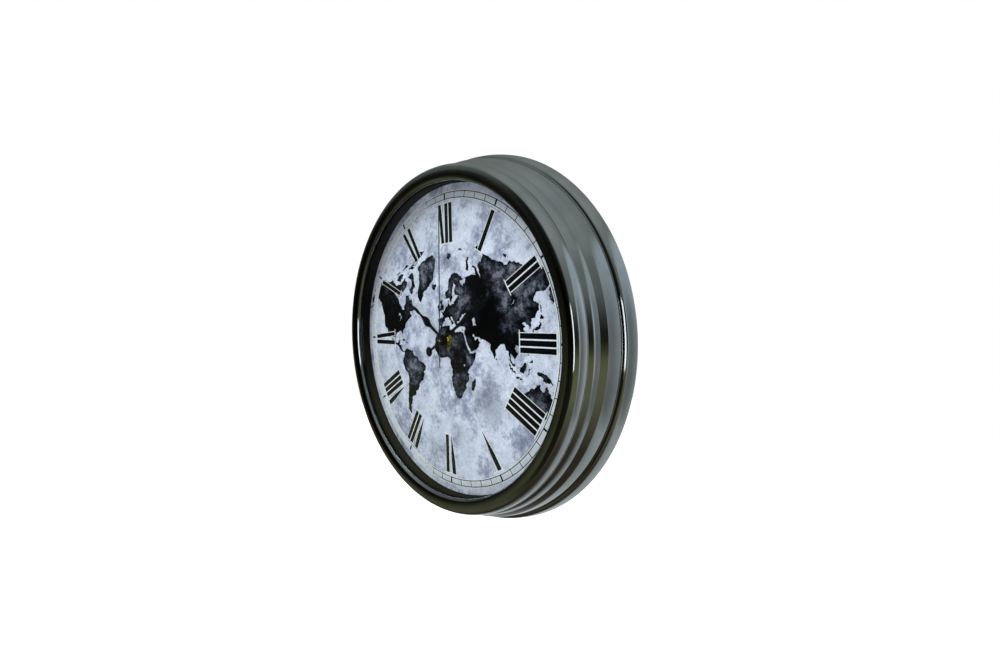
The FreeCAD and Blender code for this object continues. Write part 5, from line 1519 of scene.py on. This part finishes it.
@dataclass
class Studio:
    """The floor, the surroundings, the lamps and the camera."""

    turn: float = 44.358
    rise: float = 2.507
    roll: float = -1.211
    across: float = -0.352
    up: float = -0.045
    away: float = 3.093
    unit: float = 156.4
    lens_pixels: float = 446.455
    picture_pixels: float = 1000.0
    sensor: float = 36.0
    floor_level: float = -900.0
    floor_reach: float = 4000.0

    # What the plating mirrors, from below to above: the room in front, the wall behind and the ground
    room: tuple = (
        (0.0, "4A4034"), (0.07, "4E4538"), (0.15, "686450"), (0.25, "78785C"), (0.4, "6C6C4E"),
        (0.44, "4C4A36"), (0.48, "2C2A22"), (0.52, "24241E"), (0.58, "444640"), (0.7, "7E827C"),
        (0.8, "8D928C"), (0.88, "A1A7A2"), (1.0, "B8BEBA"),
    )
    wall: tuple = (
        (0.0, "40423F"), (0.03, "92958F"), (0.1, "A7AAA7"), (0.3, "A5A9A7"), (0.5, "A8ADAC"),
        (0.65, "C4CDD2"), (0.75, "D8E2E9"), (0.88, "E2ECF3"), (1.0, "D0D8DE"),
    )
    ground: tuple = ((0.0, "B4B9B9"), (0.2, "D6DADA"), (0.5, "DADEDE"))

    # How bright the wall is, from the front to the back
    bands: tuple = ((0.53, 0.2), (0.595, 1.0), (0.645, 0.36), (0.75, 0.33), (0.83, 0.52), (0.93, 0.78))

    # Name, place and size in metres, power in watts, and whether glossy surfaces show it
    lamps: tuple = (
        ("tall softbox", (1.13, -1.13, 0.0), (0.46, 0.78), 3.1, True),
        ("overhead softbox", (-0.30, -1.20, 1.90), (1.40, 1.40), 42.0, False),
    )

    def camera(self) -> None:
        """Sets the camera where the photograph was taken."""
        turn, rise, roll = (math.radians(part) for part in (self.turn, self.rise, self.roll))
        back = Vector((math.sin(turn) * math.cos(rise), -math.cos(turn) * math.cos(rise), math.sin(rise)))
        level = Vector((0, 0, 1)).cross(back).normalized()
        tall = back.cross(level)
        right = math.cos(roll) * level + math.sin(roll) * tall
        top = math.cos(roll) * tall - math.sin(roll) * level
        place = (back * self.away - right * self.across - top * self.up) * self.unit
        place.y += DIAL
        lens = bpy.data.cameras.new("camera")
        lens.sensor_width = self.sensor
        lens.lens = self.lens_pixels / self.picture_pixels * self.sensor
        lens.clip_start = 0.01
        made = bpy.data.objects.new("camera", lens)
        turned = Matrix((right, top, back)).transposed().to_4x4()
        made.matrix_world = Matrix.Translation(place * MM) @ turned
        bpy.context.scene.collection.objects.link(made)
        bpy.context.scene.camera = made

    def mirrored(self, tree: bpy.types.NodeTree) -> bpy.types.NodeSocket:
        """Adds what the plating mirrors: a dim room in front, a grey wall behind, a bright ceiling.

        Args:
            tree: The world's tree.

        Returns:
            The colour in each direction.
        """
        way = add(tree, "ShaderNodeTexCoord").outputs["Generated"]
        parts = add(tree, "ShaderNodeSeparateXYZ", links={0: way})
        across, depth, up = parts.outputs
        height = add(tree, "ShaderNodeMapRange", {"From Min": -1.0, "From Max": 1.0}, {"Value": up})
        front = add(tree, "ShaderNodeValToRGB", {"stops": self.room}, {"Fac": height.outputs[0]})
        side = add(tree, "ShaderNodeMath", {"operation": "MULTIPLY_ADD", 1: 0.3, 2: 1.0}, {0: across})
        facing = add(tree, "ShaderNodeMapRange", {"interpolation_type": "SMOOTHSTEP", "From Min": -0.8,
                                                  "From Max": -0.6, "To Min": 0.12}, {"Value": depth})
        dim = add(tree, "ShaderNodeMath", {"operation": "MULTIPLY"},
                  {0: side.outputs[0], 1: facing.outputs[0]})
        room = add(tree, "ShaderNodeVectorMath", {"operation": "SCALE"},
                   {0: front.outputs[0], "Scale": dim.outputs[0]})
        back = add(tree, "ShaderNodeValToRGB", {"stops": self.wall}, {"Fac": height.outputs[0]})
        ground = add(tree, "ShaderNodeValToRGB", {"stops": self.ground}, {"Fac": height.outputs[0]})
        behind = add(tree, "ShaderNodeMapRange", {"interpolation_type": "SMOOTHSTEP", "From Min": 0.1,
                                                  "From Max": 0.55}, {"Value": depth})
        under = add(tree, "ShaderNodeMapRange", {"interpolation_type": "SMOOTHSTEP", "From Min": -0.06,
                                                 "From Max": -0.3}, {"Value": up})
        covered = add(tree, "ShaderNodeMath", {"operation": "MULTIPLY"},
                      {0: behind.outputs[0], 1: under.outputs[0]})
        low = add(tree, "ShaderNodeMix", {"data_type": "RGBA"},
                  {0: covered.outputs[0], 6: room.outputs[0], 7: ground.outputs[0]})
        far = add(tree, "ShaderNodeMapRange", {"From Min": -1.0, "From Max": 1.0}, {"Value": depth})
        bands = add(tree, "ShaderNodeValToRGB", {"stops": self.bands}, {"Fac": far.outputs[0]})
        level = add(tree, "ShaderNodeMath", {"operation": "MULTIPLY", 1: 2.2}, {0: bands.outputs[0]})
        high = add(tree, "ShaderNodeMapRange", {"interpolation_type": "SMOOTHSTEP", "From Min": 0.1,
                                                "From Max": 0.5}, {"Value": up})
        even = add(tree, "ShaderNodeMix", {"data_type": "FLOAT", 3: 1.0},
                   {0: high.outputs[0], 2: level.outputs[0]})
        wall = add(tree, "ShaderNodeVectorMath", {"operation": "SCALE"},
                   {0: back.outputs[0], "Scale": even.outputs[0]})
        lean = add(tree, "ShaderNodeVectorMath", {"operation": "DOT_PRODUCT", 1: (0.7, 0.71, 0.0)}, {0: way})
        share = add(tree, "ShaderNodeMapRange", {"interpolation_type": "SMOOTHSTEP", "From Min": 0.7,
                                                 "From Max": 0.83}, {"Value": lean.outputs["Value"]})
        both = add(tree, "ShaderNodeMix", {"data_type": "RGBA"},
                   {0: share.outputs[0], 6: low.outputs[2], 7: wall.outputs[0]})
        return both.outputs[2]

    def surroundings(self) -> None:
        """Lights the object from all round, and shows white to the camera."""
        world = bpy.data.worlds.new("studio")
        world.use_nodes = True
        tree = world.node_tree
        tree.nodes.clear()
        rays = add(tree, "ShaderNodeLightPath")
        glossy = add(tree, "ShaderNodeBackground", {"Strength": 1.0}, {"Color": self.mirrored(tree)})
        plain = add(tree, "ShaderNodeBackground", {"Color": linear("FFFFFF"), "Strength": 1.05})
        white = add(tree, "ShaderNodeBackground", {"Color": linear("FFFFFF"), "Strength": 1.0})
        sharp = add(tree, "ShaderNodeMath", {"operation": "LESS_THAN", 1: 0.5},
                    {0: rays.outputs["Diffuse Depth"]})
        through = add(tree, "ShaderNodeMath", {"operation": "MULTIPLY"},
                      {0: sharp.outputs[0], 1: rays.outputs["Is Transmission Ray"]})
        straight = add(tree, "ShaderNodeMath", {"operation": "LESS_THAN", 1: 0.5},
                       {0: rays.outputs["Glossy Depth"]})
        clear = add(tree, "ShaderNodeMath", {"operation": "MULTIPLY"},
                    {0: through.outputs[0], 1: straight.outputs[0]})
        bright = add(tree, "ShaderNodeMath", {"operation": "MAXIMUM"},
                     {0: rays.outputs["Is Glossy Ray"], 1: through.outputs[0]})
        mixed = add(tree, "ShaderNodeMixShader",
                    links={0: bright.outputs[0], 1: plain.outputs[0], 2: glossy.outputs[0]})
        camera = add(tree, "ShaderNodeMath", {"operation": "MAXIMUM"},
                     {0: rays.outputs["Is Camera Ray"], 1: clear.outputs[0]})
        final = add(tree, "ShaderNodeMixShader",
                    links={0: camera.outputs[0], 1: mixed.outputs[0], 2: white.outputs[0]})
        add(tree, "ShaderNodeOutputWorld", links={"Surface": final.outputs[0]})
        world.cycles.sampling_method = "NONE"
        bpy.context.scene.world = world

    def lamp(self, name: str, place: tuple, size: tuple, power: float, mirrored: bool) -> None:
        """Adds a soft lamp that faces the dial.

        Args:
            name: The lamp's name.
            place: Its place in metres.
            size: Its width and height in metres.
            power: Its power in watts.
            mirrored: Whether glossy surfaces show it.
        """
        light = bpy.data.lights.new(name, "AREA")
        light.shape, light.size, light.size_y, light.energy = "RECTANGLE", size[0], size[1], power
        made = bpy.data.objects.new(name, light)
        made.location = place
        made.visible_glossy = mirrored
        made.rotation_euler = (Vector((0, -0.03, 0)) - Vector(place)).to_track_quat("-Z", "Y").to_euler()
        bpy.context.scene.collection.objects.link(made)

    def floor(self) -> None:
        """Lays a plain pale floor below the clock."""
        reach, level = self.floor_reach, self.floor_level
        corners = [(-reach, -reach, level), (reach, -reach, level), (reach, reach, level),
                   (-reach, reach, level)]
        piece = solid("floor", corners, [(0, 1, 2, 3)])
        finish = bpy.data.materials.new("pale floor")
        finish.use_nodes = True
        tree = finish.node_tree
        tree.nodes.clear()
        shade = add(tree, "ShaderNodeBsdfDiffuse", {"Color": linear("F4F4F4")})
        rays = add(tree, "ShaderNodeLightPath")
        first = add(tree, "ShaderNodeMath", {"operation": "MAXIMUM"},
                    {0: rays.outputs["Is Camera Ray"], 1: rays.outputs["Is Glossy Ray"]})
        seen = add(tree, "ShaderNodeMath", {"operation": "MAXIMUM"},
                   {0: first.outputs[0], 1: rays.outputs["Is Transmission Ray"]})
        lift = add(tree, "ShaderNodeMath", {"operation": "MULTIPLY", 1: 0.5}, {0: seen.outputs[0]})
        glow = add(tree, "ShaderNodeEmission", {"Color": linear("FFFFFF")}, {"Strength": lift.outputs[0]})
        both = add(tree, "ShaderNodeAddShader", links={0: shade.outputs[0], 1: glow.outputs[0]})
        clear = add(tree, "ShaderNodeBsdfTransparent")
        past = add(tree, "ShaderNodeMath", {"operation": "GREATER_THAN", 1: 0.5},
                   {0: rays.outputs["Glossy Depth"]})
        final = add(tree, "ShaderNodeMixShader",
                    links={0: past.outputs[0], 1: both.outputs[0], 2: clear.outputs[0]})
        add(tree, "ShaderNodeOutputMaterial", links={"Surface": final.outputs[0]})
        piece.data.materials.append(finish)

    def build(self) -> None:
        """Sets up the studio."""
        bpy.context.scene.view_settings.view_transform = "Standard"
        self.camera()
        self.surroundings()
        for lamp in self.lamps:
            self.lamp(*lamp)
        self.floor()


def main() -> None:
    """Builds the clock and its studio in order."""
    logging.basicConfig(level=logging.INFO, format="%(message)s")
    for part in (Studio(), SteppedCase(), Window(), Movement(), WorldMap(), MinuteTrack(), Numerals(),
                 Hands(), Back()):
        LOG.info("%s", type(part).__name__)
        part.build()


if __name__ == "__main__":
    main()
